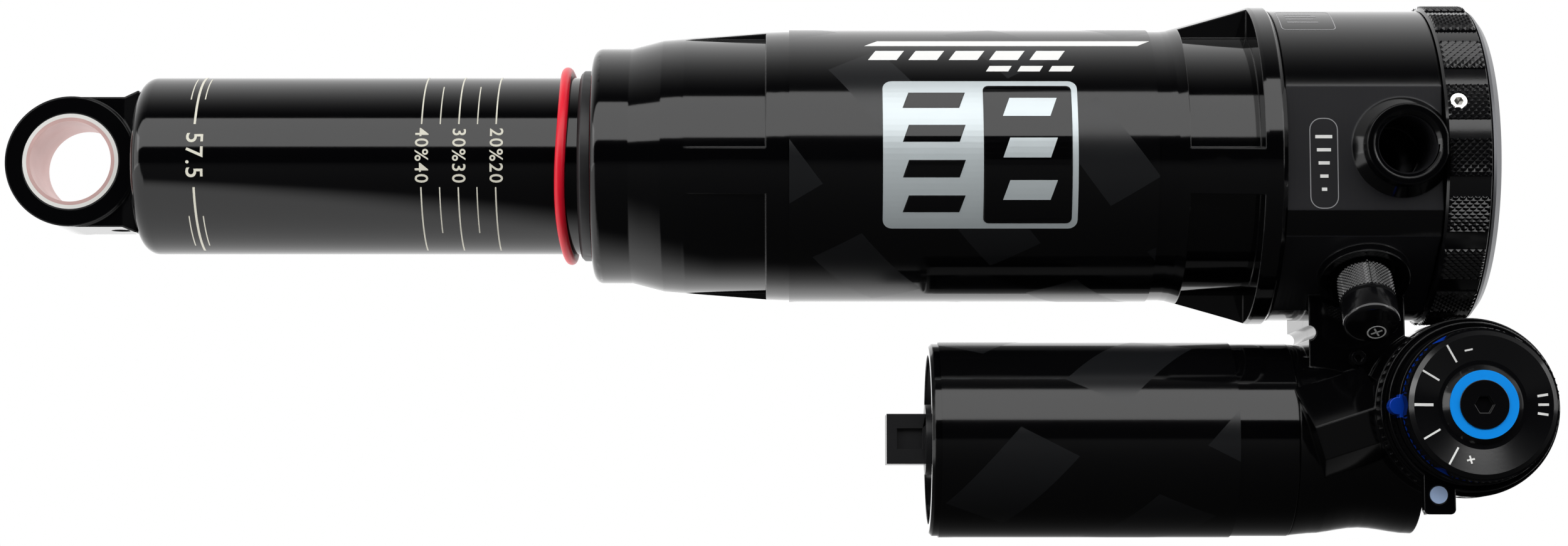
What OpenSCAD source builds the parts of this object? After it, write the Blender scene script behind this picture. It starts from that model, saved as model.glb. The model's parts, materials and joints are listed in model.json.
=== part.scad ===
// Air-sprung rear shock with trunnion head and a reservoir beside the air can.
// Frame: origin at the centre of the lower eyelet bore, +X along the shock towards
// the head, +Y along the eyelet bore away from the dials, +Z away from the reservoir.
// It is drawn fully extended. Lengths are in millimetres.

/* [Shock] */
// Distance from the lower eyelet to the trunnion axis
eye_to_eye = 205; // [200:0.5:260]
// Travel of the damper tube into the air can
stroke = 57.5; // [40:0.5:60]

/* [Lower eyelet] */
// Outside diameter of the eyelet
eye_d = 20.5; // [19:0.1:25]
// Width of the eyelet and its bushing
eye_w = 12.7; // [10:0.1:16]
// Width of the neck between eyelet and tube
neck_w = 11.2; // [8:0.1:12]
// Outside diameter of the pressed bushing
bushing_d = 15; // [14:0.1:17]
// Thickness of the bushing's steel shell
shell_t = 0.6; // [0.3:0.1:0.8]
// Bore of the bushing
bushing_bore_d = 12.7; // [8:0.1:12.7]

/* [Damper tube] */
// Outside diameter of the damper tube
tube_d = 28; // [24:0.1:30]
// Wall of the damper tube
tube_wall = 1.75; // [1.2:0.05:2.5]
// Distance from the eyelet bore to the closed end of the tube
tube_start = 10.5; // [10:0.1:14]
// Thickness of the closed end
tube_end_t = 4.5; // [3.5:0.1:6]
// Radius of the rounded closed end
tube_end_r = 2.5; // [1:0.1:3]
// Distance from the eyelet bore to the mark at full travel
full_mark_x = 22.2; // [20:0.1:30]

/* [Air can] */
// Main outside diameter of the air can
can_d = 42.6; // [41.5:0.1:60]
// Bore of the air can
can_bore_d = 37.5; // [36:0.1:38]
// Outside diameter of the can's neck
neck_d = 37.2; // [36.5:0.1:39]
// Outside diameter of the flange against the head
flange_d = 50.2; // [46:0.1:64]
// Length of the thick neck that holds the seals
neck_l = 17; // [16.8:0.1:24]
// Width of the land between two wrench pockets
pocket_land = 7; // [5:0.1:10]
// Thickness of the wrapped decal
decal_t = 0.2; // [0.1:0.05:0.4]

/* [Damper shaft] */
// Outside diameter of the damper shaft
shaft_d = 12.7; // [10:0.1:14]
// Diameter of the rebound rod inside the shaft
rod_d = 4; // [3:0.1:5]

/* [Head] */
// Diameter of the head
head_d = 49; // [48:0.1:60]
// Distance between the two milled flats
flats_w = 45.2; // [44:0.1:46]
// Overall width across the trunnion bosses
trunnion_w = 54; // [50:0.5:60]
// Diameter of a trunnion boss
trunnion_boss_d = 12.4; // [11.5:0.1:12.6]
// Minor diameter of the M10x1 trunnion thread
trunnion_hole_d = 9; // [8:0.1:10]
// Depth of a trunnion hole
trunnion_depth = 14; // [10:0.5:15]
// Head length on the can side of the trunnion axis
head_back = 17.5; // [16:0.1:22]
// Head length on the ring side of the trunnion axis
head_front = 6; // [5.5:0.1:12]

/* [Rebound ring] */
// Outside diameter of the knurled ring
ring_d = 50.6; // [48:0.1:62]
// Width of the knurled ring
ring_w = 7; // [6:0.1:10]
// Number of knurled pads
ring_pads = 18; // [8:1:24]
// Width of the smooth land between pads
ring_land = 3; // [2:0.1:4]

/* [Air valve] */
// How far the valve points below the front, in degrees
valve_dip = 53; // [45:1:60]
// Place of the valve on the can side of the trunnion axis
valve_back = 4.6; // [3:0.1:6]
// Distance from the shock's axis to the milled valve pad
pad_r = 23; // [22:0.1:24]
// Diameter of the valve stem
stem_d = 6.8; // [6:0.1:7]
// Outside diameter of the valve cap
cap_d = 8.6; // [8.4:0.1:10]
// Length of the valve cap
cap_l = 11.6; // [9:0.1:14]

/* [Reservoir] */
// Outside diameter of the reservoir tube
res_d = 30.2; // [28:0.1:34]
// Wall of the reservoir tube
res_wall = 1.8; // [1.2:0.1:2.5]
// Distance from the shock's axis down to the reservoir's axis
res_drop = 43.3; // [42:0.1:55]
// Reservoir length on the can side of the trunnion axis
res_back = 70.8; // [60:0.1:90]
// Diameter of the forged collar the tube screws onto
collar_d = 29.4; // [28:0.1:30]

/* [Compression dials] */
// Place of the dial axis on the ring side of the trunnion axis
dial_front = 9.2; // [9:0.1:12]
// Distance from the shock's axis down to the dial axis
dial_drop = 39.3; // [39:0.1:46]
// Depth of the waist around the reservoir collar
collar_waist = 0.9; // [0:0.1:1.5]
// Diameter of the forged boss behind the dials
boss_d = 27; // [26:0.1:27.2]
// Diameter of the low-speed dial
dial_d = 22.8; // [20:0.1:26]
// Diameter of the high-speed ring
hsc_d = 23.4; // [20:0.1:26]
// Number of fine teeth around the dial
dial_teeth = 72; // [36:1:90]

/* [Fits] */
// Radial clearance of a running fit
run = 0.05; // [0.02:0.01:0.1]
// Free gap between pieces that move past each other
gap = 0.3; // [0.2:0.05:0.5]

/* [Hidden] */
$fn = 96;

cut = 1;                                   // how far a cutter runs past a face
tube_r = tube_d / 2;
tube_bore_r = tube_r - tube_wall;
eye_r = eye_d / 2;
shaft_r = shaft_d / 2;
rod_r = rod_d / 2;
can_r = can_d / 2;
can_bore_r = can_bore_d / 2;
neck_r = neck_d / 2;
flange_r = flange_d / 2;
head_r = head_d / 2;
ring_r = ring_d / 2;
post_r = shaft_r - 2.35;

// Stations along the shock, from the eyelet to the head
stud_r = 8;
tube_bore_x = tube_start + tube_end_t;
wiper_x = full_mark_x + stroke;
lip_l = 2;
can_x = wiper_x + lip_l;
wiper_l = 3.9;
seal_x = can_x + 5.2;
seal_l = 3.2;
backup_l = 1.4;
bushing_x = seal_x + seal_l + backup_l + 1;
bushing_l = 6;
neck_end_x = can_x + neck_l;
top_out_l = 3.1;
piston_x = neck_end_x + top_out_l + gap;   // face of the air piston, and end of the tube
piston_l = 11.5;
piston_end_x = piston_x + piston_l;
skirt_l = 8;                               // threaded skirt of the air piston in the tube
trunnion_x = eye_to_eye;
head_x = trunnion_x - head_back;
head_end_x = trunnion_x + head_front;
spigot_l = 7.5;
spigot_x = head_x - spigot_l;
spacer_l = 3.5;
spacer_x = spigot_x - spacer_l;
bumper_l = 4.7;
bumper_x = spacer_x - bumper_l;
flange_l = 2.9;
flare_l = 13;

// Stations of the main piston on the shaft's post
shoulder_x = piston_x - skirt_l - 1.5;
comp_shim_l = 1.5;
main_x = shoulder_x - comp_shim_l - 7;
main_l = 7;
reb_shim_l = 2.5;
nut_l = 4.5;
nut_x = main_x - reb_shim_l - nut_l;
post_x = nut_x - 1;
shaft_end_x = head_x + 4.5;

// Rebound ring and its retention
ring_x = head_end_x + gap;
ring_end_x = ring_x + ring_w;
hub_r = 10;
hub_end_x = head_end_x + 4.3;
web_x = hub_end_x + gap;
groove_r = hub_r - 1.2;
screw_x = ring_x + 2;
screw_r = 1.27;
screw_angle = 16;
land_angle = 5.9;
plate_l = 1.5;
rod_x = post_x + 3;
rod_end_x = hub_end_x - 1.3;

// Reservoir stations
res_r = res_d / 2;
res_bore_r = res_r - res_wall;
res_x = trunnion_x - res_back;
collar_x = trunnion_x - 14.7;
collar_end_x = trunnion_x + 7.3;
collar_r = collar_d / 2;
res_spigot_l = 8.5;
res_cap_l = 5.5;
cap_recess = 1.1;
port_block_l = 6.6;
charge_r = 2.4;
ifp_x = collar_x - res_spigot_l - 17;
ifp_l = 10;

// Dial stack, measured from the shock's mid plane towards the front
dial_x = trunnion_x + dial_front;
boss_r = boss_d / 2;
boss_back = 14;
boss_front = 19.5;
boss_bore_r = 10;
housing_l = 4.1;
lever_t = boss_front + housing_l + gap;
lever_l = 2;
hsc_t = lever_t + lever_l + gap;
hsc_l = 2.4;
lsc_t = hsc_t + hsc_l + gap;
lsc_l = 4.1;
needle_r = 1.5;
lsc_hub_r = 3;
hsc_hub_r = 5;
lever_hub_r = 7;
valve_floor = -12;
base_shim_l = 1.5;
base_valve_l = 8;
spring_l = 5.4;
base_valve_t = valve_floor + base_shim_l + 0.5;
spring_t = base_valve_t + base_valve_l;
cup_t = spring_t + spring_l + 0.7;

// Air valve, measured out from the shock's axis
valve_x = trunnion_x - valve_back;
stem_r = stem_d / 2;
cap_r = cap_d / 2;
stem_in = 12;
stem_out = 31.5;
cap_in = stem_out + 2 - cap_l;
valve_well_r = 5.8;
valve_rim_r = 7;
core_r = 2.1;
pin_r = 0.55;

// Turns local Z onto the shock's axis
module on_axis(x = 0) {
    translate([x, 0, 0]) rotate([0, 90, 0]) children();
}

// A round bar from station a to station b along the shock
module disc(a, b, r) {
    on_axis(a) cylinder(r = r, h = b - a);
}

// A tube from station a to station b along the shock
module ring(a, b, r_out, r_in) {
    difference() {
        disc(a, b, r_out);
        disc(a - cut, b + cut, r_in);
    }
}

// A turned piece from [radius, station] points
module turned(points) {
    on_axis() rotate_extrude() polygon(points);
}

// An O-ring with its centre at one station
module oring(x, r_mid, section_r) {
    on_axis(x) rotate_extrude() translate([r_mid, 0]) circle(r = section_r, $fn = 32);
}

// Moves to the reservoir's axis
module at_reservoir() {
    translate([0, 0, -res_drop]) children();
}

// Turns local Z towards the front, on the dial axis
module at_dial(t = 0) {
    translate([dial_x, -t, -dial_drop]) rotate([90, 0, 0]) children();
}

// A round bar on the dial axis from depth a to depth b
module dial_disc(a, b, r) {
    at_dial(a) cylinder(r = r, h = b - a);
}

// A tube on the dial axis
module dial_tube(a, b, r_out, r_in) {
    difference() {
        dial_disc(a, b, r_out);
        dial_disc(a - cut, b + cut, r_in);
    }
}

// Turns local Z onto the air valve's axis
module at_valve(s = 0) {
    translate([valve_x, 0, 0]) rotate([90 + valve_dip, 0, 0]) translate([0, 0, s]) children();
}

// Repeats a feature on the front at an angle above the front, about the shock's axis
module around(angle) {
    rotate([-angle, 0, 0]) children();
}

// One hexagonal socket, pointing down its local Z
module hex_socket(across, depth) {
    translate([0, 0, -depth]) cylinder(d = across / cos(30), h = depth + cut, $fn = 6);
}

// A close helix of round wire, standing on local Z
module coil_spring(r_mid, wire_r, length, turns) {
    sides = 6;
    steps = 14 * turns;
    rise = length - 2 * wire_r;
    points = [for (i = [0:steps]) for (k = [0:sides - 1])
        let (a = 360 * turns * i / steps, b = 360 * k / sides, r = r_mid + wire_r * cos(b))
        [r * cos(a), r * sin(a), wire_r + rise * i / steps + wire_r * sin(b)]];
    walls = [for (i = [0:steps - 1]) for (k = [0:sides - 1])
        let (a = i * sides + k, b = i * sides + (k + 1) % sides)
        [a, a + sides, b + sides, b]];
    first = [for (k = [0:sides - 1]) k];
    last = [for (k = [sides - 1:-1:0]) steps * sides + k];
    polyhedron(points, concat(walls, [first], [last]), convexity = 8);
}

module eyelet_outline(reach) {
    circle(r = eye_r);
    translate([0, -eye_r]) square([reach, 2 * eye_r]);
}

module lower_eyelet() {
    flare = 2.4;
    color("black") difference() {
        union() {
            translate([0, eye_w / 2, 0]) rotate([90, 0, 0]) cylinder(r = eye_r, h = eye_w);
            translate([0, neck_w / 2, 0]) rotate([90, 0, 0])
                linear_extrude(neck_w) eyelet_outline(tube_start);
            hull() {
                translate([tube_start - 0.2, -neck_w / 2 - 0.6, -eye_r - 0.9])
                    cube([0.2, neck_w + 1.2, 2 * eye_r + 1.8]);
                translate([tube_start - flare, -neck_w / 2, -eye_r])
                    cube([0.1, neck_w, 2 * eye_r]);
            }
            disc(tube_start - 0.5, tube_bore_x, stud_r);
        }
        translate([0, eye_w, 0]) rotate([90, 0, 0]) cylinder(d = bushing_d, h = 2 * eye_w);
        translate([tube_start - 3.6, 0, -eye_r - cut]) cylinder(r = 1.6, h = 3.2 + cut);
    }
}

module bushing_shell() {
    color("silver") rotate([90, 0, 0]) difference() {
        cylinder(d = bushing_d, h = eye_w, center = true);
        cylinder(d = bushing_d - 2 * shell_t, h = eye_w + cut, center = true);
    }
}

module bushing_liner() {
    color("rosybrown") rotate([90, 0, 0]) difference() {
        cylinder(d = bushing_d - 2 * shell_t, h = eye_w, center = true);
        cylinder(d = bushing_bore_d, h = eye_w + cut, center = true);
    }
}

module bleed_screw() {
    color("dimgray") translate([tube_start - 3.6, 0, -eye_r]) difference() {
        translate([0, 0, 0.7]) cylinder(r = 1.6, h = 2.5);
        translate([0, 0, 0.7]) mirror([0, 0, 1]) hex_socket(1.5, 1.4);
    }
}

module damper_tube() {
    color("black") difference() {
        union() {
            disc(tube_start + tube_end_r, piston_x, tube_r);
            disc(tube_start, tube_start + tube_end_r, tube_r - tube_end_r);
            on_axis(tube_start + tube_end_r) rotate_extrude()
                translate([tube_r - tube_end_r, 0]) difference() {
                    circle(r = tube_end_r, $fn = 32);
                    translate([-tube_end_r - cut, 0]) square(2 * tube_end_r + 2 * cut);
                }
        }
        disc(tube_start - cut, tube_bore_x + cut, stud_r);
        disc(tube_bore_x, piston_x + cut, tube_bore_r);
    }
}

module sag_ring() {
    color("crimson") oring(wiper_x - 1.4, tube_r + run + 0.8, 0.8);
}

module dust_wiper() {
    lip_r = tube_r + 1.05;
    color("dimgray") difference() {
        union() {
            turned([[0, wiper_x], [lip_r - 0.5, wiper_x], [lip_r, wiper_x + 0.5],
                    [lip_r, can_x], [0, can_x]]);
            disc(can_x, can_x + wiper_l, tube_r + 2.4);
        }
        disc(wiper_x - cut, can_x + wiper_l + cut, tube_r + run);
    }
}

// Outside of the air can: nose, cone, barrel, flare and flange
module can_outline() {
    nose = 1.5;
    flare_x = head_x - flange_l - flare_l;
    union() {
        turned([[0, can_x + nose], [neck_r, can_x + nose], [neck_r, can_x + 6],
                [can_r - 1.4, can_x + 11], [can_r - 1.15, can_x + 14],
                [can_r - 0.95, can_x + 16], [can_r - 0.1, can_x + 27.2],
                [can_r, can_x + 30], [can_r, flare_x - 1], [can_r + 0.1, flare_x],
                [flange_r - 0.9, head_x - flange_l - 3], [flange_r, head_x - flange_l],
                [flange_r, head_x - 0.8], [flange_r - 0.8, head_x], [0, head_x]]);
        disc(can_x, can_x + nose, neck_r - nose);
        on_axis(can_x + nose) rotate_extrude() translate([neck_r - nose, 0])
            circle(r = nose, $fn = 32);
    }
}

// Four wrench pockets between four lands
module wrench_pockets(a, b, floor_r) {
    land_angle = -9;
    difference() {
        ring(a, b, flange_r + cut, floor_r);
        for (k = [0:3]) around(land_angle + 90 * k)
            translate([a - cut, -flange_r - 2 * cut, -pocket_land / 2])
                cube([b - a + 2 * cut, flange_r, pocket_land]);
    }
}

module air_can() {
    pocket_floor = can_r - 1.1;
    color("black") difference() {
        can_outline();
        wrench_pockets(can_x + 13.9, can_x + 27.1, pocket_floor);
        wrench_pockets(head_x - 14.3, head_x - flange_l - 0.6, pocket_floor + 0.3);
        disc(can_x - cut, can_x + wiper_l, tube_r + 2.4);
        disc(can_x, neck_end_x + cut, tube_r + gap);
        disc(seal_x, seal_x + seal_l + backup_l, tube_r + 2.6);
        disc(bushing_x, bushing_x + bushing_l, tube_r + 1.5);
        disc(neck_end_x, head_x + cut, can_bore_r);
    }
}

module air_can_decal() {
    color("dimgray") ring(can_x + 30.7, head_x - 19, can_r + decal_t, can_r);
}

module neck_air_seal() {
    color("darkslategray") ring(seal_x, seal_x + seal_l, tube_r + 2.6, tube_r + run);
}

module backup_ring() {
    color("white") ring(seal_x + seal_l, seal_x + seal_l + backup_l, tube_r + 2.6, tube_r + run);
}

module neck_bushing() {
    color("peru") ring(bushing_x, bushing_x + bushing_l, tube_r + 1.5, tube_r + run);
}

module top_out_bumper() {
    color("darkslategray") ring(neck_end_x, neck_end_x + top_out_l, can_bore_r - 1.2, tube_r + gap);
}

// Depths of the grooves around the air piston
air_seal_r = can_bore_r - 3;
air_band_r = can_bore_r - 1.5;

module air_piston() {
    color("silver") difference() {
        union() {
            disc(piston_x, piston_end_x, can_bore_r - gap);
            disc(piston_x - skirt_l, piston_x + cut, tube_bore_r);
        }
        disc(piston_x - skirt_l - cut, piston_end_x + cut, shaft_r + gap);
        disc(piston_x - skirt_l + 1, piston_x + 1, shaft_r + 1.2);
        disc(piston_x + 4, piston_x + 7.5, shaft_r + 2.6);
        ring(piston_x + 2, piston_x + 5.2, can_bore_r + cut, air_seal_r);
        ring(piston_x + 7.2, piston_x + 10.2, can_bore_r + cut, air_band_r);
    }
}

module air_piston_seal() {
    color("darkslategray") ring(piston_x + 2, piston_x + 5.2, can_bore_r - run, air_seal_r);
}

module air_piston_band() {
    color("peru") ring(piston_x + 7.2, piston_x + 10.2, can_bore_r - run, air_band_r);
}

module shaft_bushing() {
    color("peru") ring(piston_x - skirt_l + 1, piston_x + 1, shaft_r + 1.2, shaft_r + run);
}

module shaft_oil_seal() {
    color("darkslategray") ring(piston_x + 4, piston_x + 7.5, shaft_r + 2.6, shaft_r + run);
}

module damper_shaft() {
    color("silver") difference() {
        union() {
            disc(shoulder_x, shaft_end_x, shaft_r);
            disc(post_x, shoulder_x + cut, post_r);
        }
        disc(post_x - cut, shaft_end_x + cut, rod_r + run);
    }
}

module main_piston() {
    ports = 6;
    color("goldenrod") difference() {
        disc(main_x, main_x + main_l, tube_bore_r - gap);
        disc(main_x - cut, main_x + main_l + cut, post_r);
        ring(main_x + 1.5, main_x + main_l - 1.5, tube_bore_r + cut, tube_bore_r - 1);
        for (k = [0:ports - 1]) around(360 / ports * k)
            translate([0, -tube_bore_r + 4.4, 0]) disc(main_x - cut, main_x + main_l + cut, 1.3);
    }
}

module main_piston_band() {
    color("peru") ring(main_x + 1.5, main_x + main_l - 1.5, tube_bore_r - run, tube_bore_r - 1);
}

// A stack of round shims that tapers along the shock
module shim_stack(x, length, r_first, r_last, count) {
    step = length / count;
    for (k = [0:count - 1])
        ring(x + step * k, x + step * (k + 1),
             r_first + (r_last - r_first) * k / (count - 1), post_r);
}

module compression_shims() {
    color("lightsteelblue") shim_stack(main_x + main_l, comp_shim_l, 9.2, 6.2, 4);
}

module rebound_shims() {
    color("lightsteelblue") shim_stack(main_x - reb_shim_l, reb_shim_l, 6.2, 9.2, 5);
}

module piston_nut() {
    color("silver") difference() {
        on_axis(nut_x) cylinder(r = 6.6, h = nut_l, $fn = 6);
        disc(nut_x - cut, nut_x + nut_l + cut, post_r);
    }
}

module rebound_rod() {
    tip = 2.5;
    color("silver") turned([[0, rod_x - tip], [0.6, rod_x - tip], [rod_r, rod_x],
                            [rod_r, rod_end_x - 0.5], [rod_r - 0.5, rod_end_x], [0, rod_end_x]]);
}

module bottom_out_bumper() {
    color("darkslategray") ring(bumper_x, spacer_x, shaft_r + 4.7, shaft_r);
}

module volume_spacer() {
    color("forestgreen") ring(spacer_x, spigot_x, can_bore_r - 0.9, shaft_r);
}

module can_oring() {
    color("darkslategray") oring(head_x - 3.6, can_bore_r - 0.95, 0.8);
}

// Trunnion boss with a fillet-like foot on each side
module trunnion_bosses() {
    foot_l = 1.6;
    difference() {
        for (side = [-1, 1]) translate([trunnion_x, side * trunnion_w / 2, 0])
            rotate([side * 90, 0, 0]) {
                cylinder(d = trunnion_boss_d, h = 10);
                translate([0, 0, (trunnion_w - flats_w) / 2 - foot_l])
                    cylinder(d1 = trunnion_boss_d, d2 = trunnion_boss_d + 2 * foot_l,
                             h = foot_l + 0.1);
            }
        translate([head_end_x, -trunnion_w, -trunnion_w]) cube(2 * trunnion_w);
    }
}

module trunnion_holes() {
    chamfer = 0.6;
    for (side = [-1, 1]) translate([trunnion_x, side * trunnion_w / 2, 0]) rotate([side * 90, 0, 0]) {
        translate([0, 0, -cut]) cylinder(d = trunnion_hole_d, h = trunnion_depth + cut);
        translate([0, 0, -0.01])
            cylinder(d1 = trunnion_hole_d + 2 * chamfer, d2 = trunnion_hole_d, h = chamfer);
    }
}

// Web that carries the reservoir under the head, widening towards the collar
module bridge() {
    web_back = trunnion_x - 12.4;
    web_front = trunnion_x + 2.4;
    foot = 1.2;
    translate([0, web_t / 2, 0]) rotate([90, 0, 0]) linear_extrude(web_t)
        difference() {
            polygon([[web_back, -15], [web_back, -res_drop], [web_front, -res_drop],
                     [web_front, -dial_drop + 12], [web_front, -15]]);
            translate([web_back, -head_r - 2.6]) circle(r = 1.1, $fn = 32);
        }
    hull() {
        translate([web_back, 0, -res_drop + collar_r - 3]) rotate([90, 0, 0])
            cylinder(r = 1, h = web_t * 0.8, center = true, $fn = 24);
        translate([web_back - foot, 0, -res_drop + 8]) rotate([90, 0, 0])
            cylinder(r = 1, h = web_t * 0.8, center = true, $fn = 24);
        translate([web_back + 3, 0, -res_drop]) rotate([90, 0, 0])
            cylinder(r = 1, h = web_t, center = true, $fn = 24);
    }
}

// Forged collar at the head end of the reservoir
module collar() {
    waist_from = collar_x + 3;
    waist_l = collar_end_x - 2.8 - waist_from;
    steps = 10;
    at_reservoir() {
        turned(concat([[0, collar_x], [res_r - 0.1, collar_x]],
            [for (i = [0:steps]) [collar_r - collar_waist * (1 - cos(360 * i / steps)) / 2,
                                  waist_from + waist_l * i / steps]],
            [[collar_r - 8, collar_end_x], [0, collar_end_x]]));
        disc(collar_x - res_spigot_l, collar_x + cut, res_bore_r);
    }
}

// Angular gusset between the collar and the dial boss
module gusset() {
    face_t = 19.6;
    face_h = 5.2;
    translate([collar_x + 2.2, 0, -res_drop - 1.3]) rotate([0, -18, 0])
        rotate([90, 0, 90]) linear_extrude(11)
            polygon([[-4, 9], [-13.5, 9], [-face_t, face_h / 2], [-face_t + 0.7, -face_h / 2],
                     [-12, -6], [-4, -6]]);
}

module trunnion_head() {
    color("black") difference() {
        union() {
            difference() {
                disc(head_x, head_end_x, head_r);
                for (side = [-1, 1])
                    translate([head_x - cut, side * (flats_w / 2 + head_r) - head_r, -head_r])
                        cube([head_end_x - head_x + 2 * cut, 2 * head_r, 2 * head_r]);
                at_valve(pad_r) translate([-head_back - cut, -head_r, 0])
                    cube([head_back + head_front + valve_back + cut + 20, 2 * head_r, head_r]);
            }
            trunnion_bosses();
            disc(spigot_x, head_x + cut, can_bore_r);
            disc(head_end_x - cut, hub_end_x, hub_r);
            at_valve(stem_in) cylinder(r = valve_rim_r, h = pad_r + 1.6 - stem_in);
            bridge();
            collar();
            dial_disc(-boss_back, boss_front, boss_r);
            gusset();
        }
        trunnion_holes();
        // Shaft seat, rod bore and oil gallery
        disc(spigot_x - cut, shaft_end_x, shaft_r);
        disc(shaft_end_x - cut, head_end_x - 3.5, rod_r + 2.2);
        disc(head_x, hub_end_x + cut, rod_r + run);
        translate([gallery_x, 0, -dial_drop + 4]) cylinder(r = 1.6, h = dial_drop - 4);
        // Groove for the O-ring, groove for the set screw
        ring(head_x - 4.6, head_x - 2.6, can_bore_r + cut, can_bore_r - 1.75);
        ring(screw_x - 1.3, screw_x + 1.3, hub_r + cut, groove_r);
        // Air valve well, seat and passage into the can
        at_valve(stem_in) cylinder(r = stem_r, h = pad_r);
        at_valve(pad_r - 2.4) cylinder(r = valve_well_r, h = 6);
        at_valve(stem_in - 3) cylinder(r = 1.2, h = 4);
        translate([0, -(stem_in - 2) * cos(valve_dip), -(stem_in - 2) * sin(valve_dip)])
            disc(spigot_x - cut, valve_x, 1.1);
        // Detent pockets
        for (side = [0, 180]) around(90 + side) translate([0, -detent_r, 0])
            disc(head_end_x - detent_depth, head_end_x + cut, ball_r + run);
        // Dial bore and oil way to the reservoir
        dial_disc(valve_floor, boss_front + cut, boss_bore_r);
        at_reservoir() disc(collar_x - res_spigot_l - cut, dial_x - 8, 2.6);
        at_reservoir() ring(collar_x - 4.6, collar_x - 2.6, res_bore_r + cut, res_bore_r - 1.75);
        // Seat of the gallery plug
        plug_place() cylinder(r = plug_r, h = plug_in + cut);
    }
}

gallery_x = trunnion_x + 0.2;
web_t = 20;
plug_r = 1.1;
plug_in = 3;
plug_out = 1.5;

// Moves to the bottom of the plug's seat, with local Z towards the front
module plug_place() {
    translate([trunnion_x - 5, -web_t / 2 + plug_in, -res_drop + 12.2]) rotate([90, 0, 0]) children();
}

module gallery_plug() {
    color("black") difference() {
        plug_place() cylinder(r = plug_r, h = plug_in + plug_out);
        plug_place() translate([0, 0, plug_in + plug_out]) hex_socket(1.2, 0.8);
    }
}

module rebound_ring() {
    color("black") difference() {
        disc(ring_x, ring_end_x, ring_r);
        disc(ring_x - cut, web_x, hub_r + run);
        for (k = [0:ring_pads - 1]) around(land_angle + 360 / ring_pads * k)
            translate([ring_x - cut, -ring_r - cut, -ring_land / 2])
                cube([ring_w + 2 * cut, cut + 0.45, ring_land]);
        // Track for the detent balls
        ring(ring_x - cut, ring_x + 0.6, detent_r + ball_r + gap, detent_r - ball_r - gap);
        around(screw_angle) translate([screw_x, 0, 0]) rotate([90, 0, 0])
            cylinder(r = screw_r, h = ring_r + cut);
        disc(web_x - 0.2, web_x + 1.6, rod_r + 1.5);
    }
}

module ring_set_screw() {
    color("silver") around(screw_angle) translate([screw_x, 0, 0]) rotate([90, 0, 0]) difference() {
        union() {
            translate([0, 0, hub_r + 0.5]) cylinder(r = screw_r, h = ring_r - hub_r - 0.8);
            translate([0, 0, groove_r + gap]) cylinder(r = screw_r - 0.27, h = 3);
        }
        translate([0, 0, ring_r - 0.3]) hex_socket(1.3, 1.5);
    }
}

module ring_end_plate() {
    color("darkgray") turned([[0, ring_end_x], [ring_r - 0.6, ring_end_x],
        [ring_r - 0.9, ring_end_x + 0.5], [ring_r - 2.2, ring_end_x + plate_l],
        [0, ring_end_x + plate_l]]);
}

detent_r = 16;
ball_r = 1.2;
detent_depth = 7;

module detent_balls() {
    color("silver") for (side = [0, 180]) around(90 + side) translate([0, -detent_r, 0])
        translate([head_end_x - ball_r + 0.55, 0, 0]) sphere(r = ball_r);
}

module detent_springs() {
    color("silver") for (side = [0, 180]) around(90 + side) translate([0, -detent_r, 0])
        on_axis(head_end_x - detent_depth) coil_spring(0.85, 0.18, 5.1, 6);
}

module valve_stem() {
    color("gold") at_valve() difference() {
        union() {
            translate([0, 0, stem_in]) cylinder(r = stem_r, h = stem_out - stem_in - 0.4);
            translate([0, 0, stem_in]) cylinder(r = stem_r - 0.4, h = stem_out - stem_in);
        }
        translate([0, 0, stem_in - cut]) cylinder(r = core_r, h = stem_out);
    }
}

module valve_core() {
    color("silver") at_valve(stem_in + 6) difference() {
        cylinder(r = core_r, h = 9);
        translate([0, 0, -cut]) cylinder(r = pin_r + run, h = 12);
    }
}

module valve_pin() {
    color("gold") at_valve(stem_in + 3.2) union() {
        cylinder(r = pin_r, h = stem_out - stem_in - 3.6);
        cylinder(r = 1.5, h = 1.4);
    }
}

module valve_cap() {
    wall = 0.9;
    bore_l = cap_l - wall - 0.2;
    color("black") at_valve(cap_in) difference() {
        union() {
            cylinder(r = cap_r, h = cap_l - 0.7);
            translate([0, 0, cap_l - 0.7]) cylinder(r1 = cap_r, r2 = cap_r - 0.6, h = 0.7);
        }
        translate([0, 0, -cut]) cylinder(r = stem_r + run, h = bore_l + cut);
    }
}

module reservoir_tube() {
    color("black") at_reservoir() difference() {
        turned([[0, res_x], [res_r - 0.5, res_x], [res_r, res_x + 0.5], [res_r, collar_x - 0.2],
                [res_r - 0.2, collar_x], [0, collar_x]]);
        disc(res_x - cut, collar_x + cut, res_bore_r);
    }
}

module reservoir_decal() {
    color("dimgray") at_reservoir() ring(res_x + 1.5, trunnion_x - 23.9, res_r + decal_t, res_r);
}

module reservoir_orings() {
    color("darkslategray") at_reservoir() {
        oring(collar_x - 3.6, res_bore_r - 0.95, 0.8);
        oring(res_x + 4.4, res_bore_r - 0.95, 0.8);
    }
}

module reservoir_end_cap() {
    color("silver") at_reservoir() difference() {
        disc(res_x + cap_recess, res_x + cap_recess + res_cap_l, res_bore_r);
        ring(res_x + 3.4, res_x + 5.4, res_bore_r + cut, res_bore_r - 1.75);
        disc(res_x, res_x + cap_recess + res_cap_l + cut, charge_r);
    }
}

module charge_valve() {
    color("goldenrod") at_reservoir() difference() {
        disc(res_x - 1, res_x + cap_recess + res_cap_l, charge_r);
        disc(res_x - 2, res_x + 1.5, 1);
    }
}

// Moulded cap that covers the charge valve and keeps its window towards the front
module charge_port_cap() {
    tall = 7.8;
    base_x = res_x + cap_recess;
    color("black") at_reservoir() difference() {
        union() {
            translate([base_x - port_block_l - cap_recess, -tall / 2, -tall / 2])
                cube([port_block_l + cap_recess, tall, tall]);
            disc(base_x - 1.6, base_x, tall / 2 + 1.6);
        }
        disc(res_x - 1.4, base_x + cut, charge_r + gap);
        translate([res_x - port_block_l + 1.6, -tall / 2 - cut, -1.65]) cube([4, cut + 0.9, 3.3]);
    }
}

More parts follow.
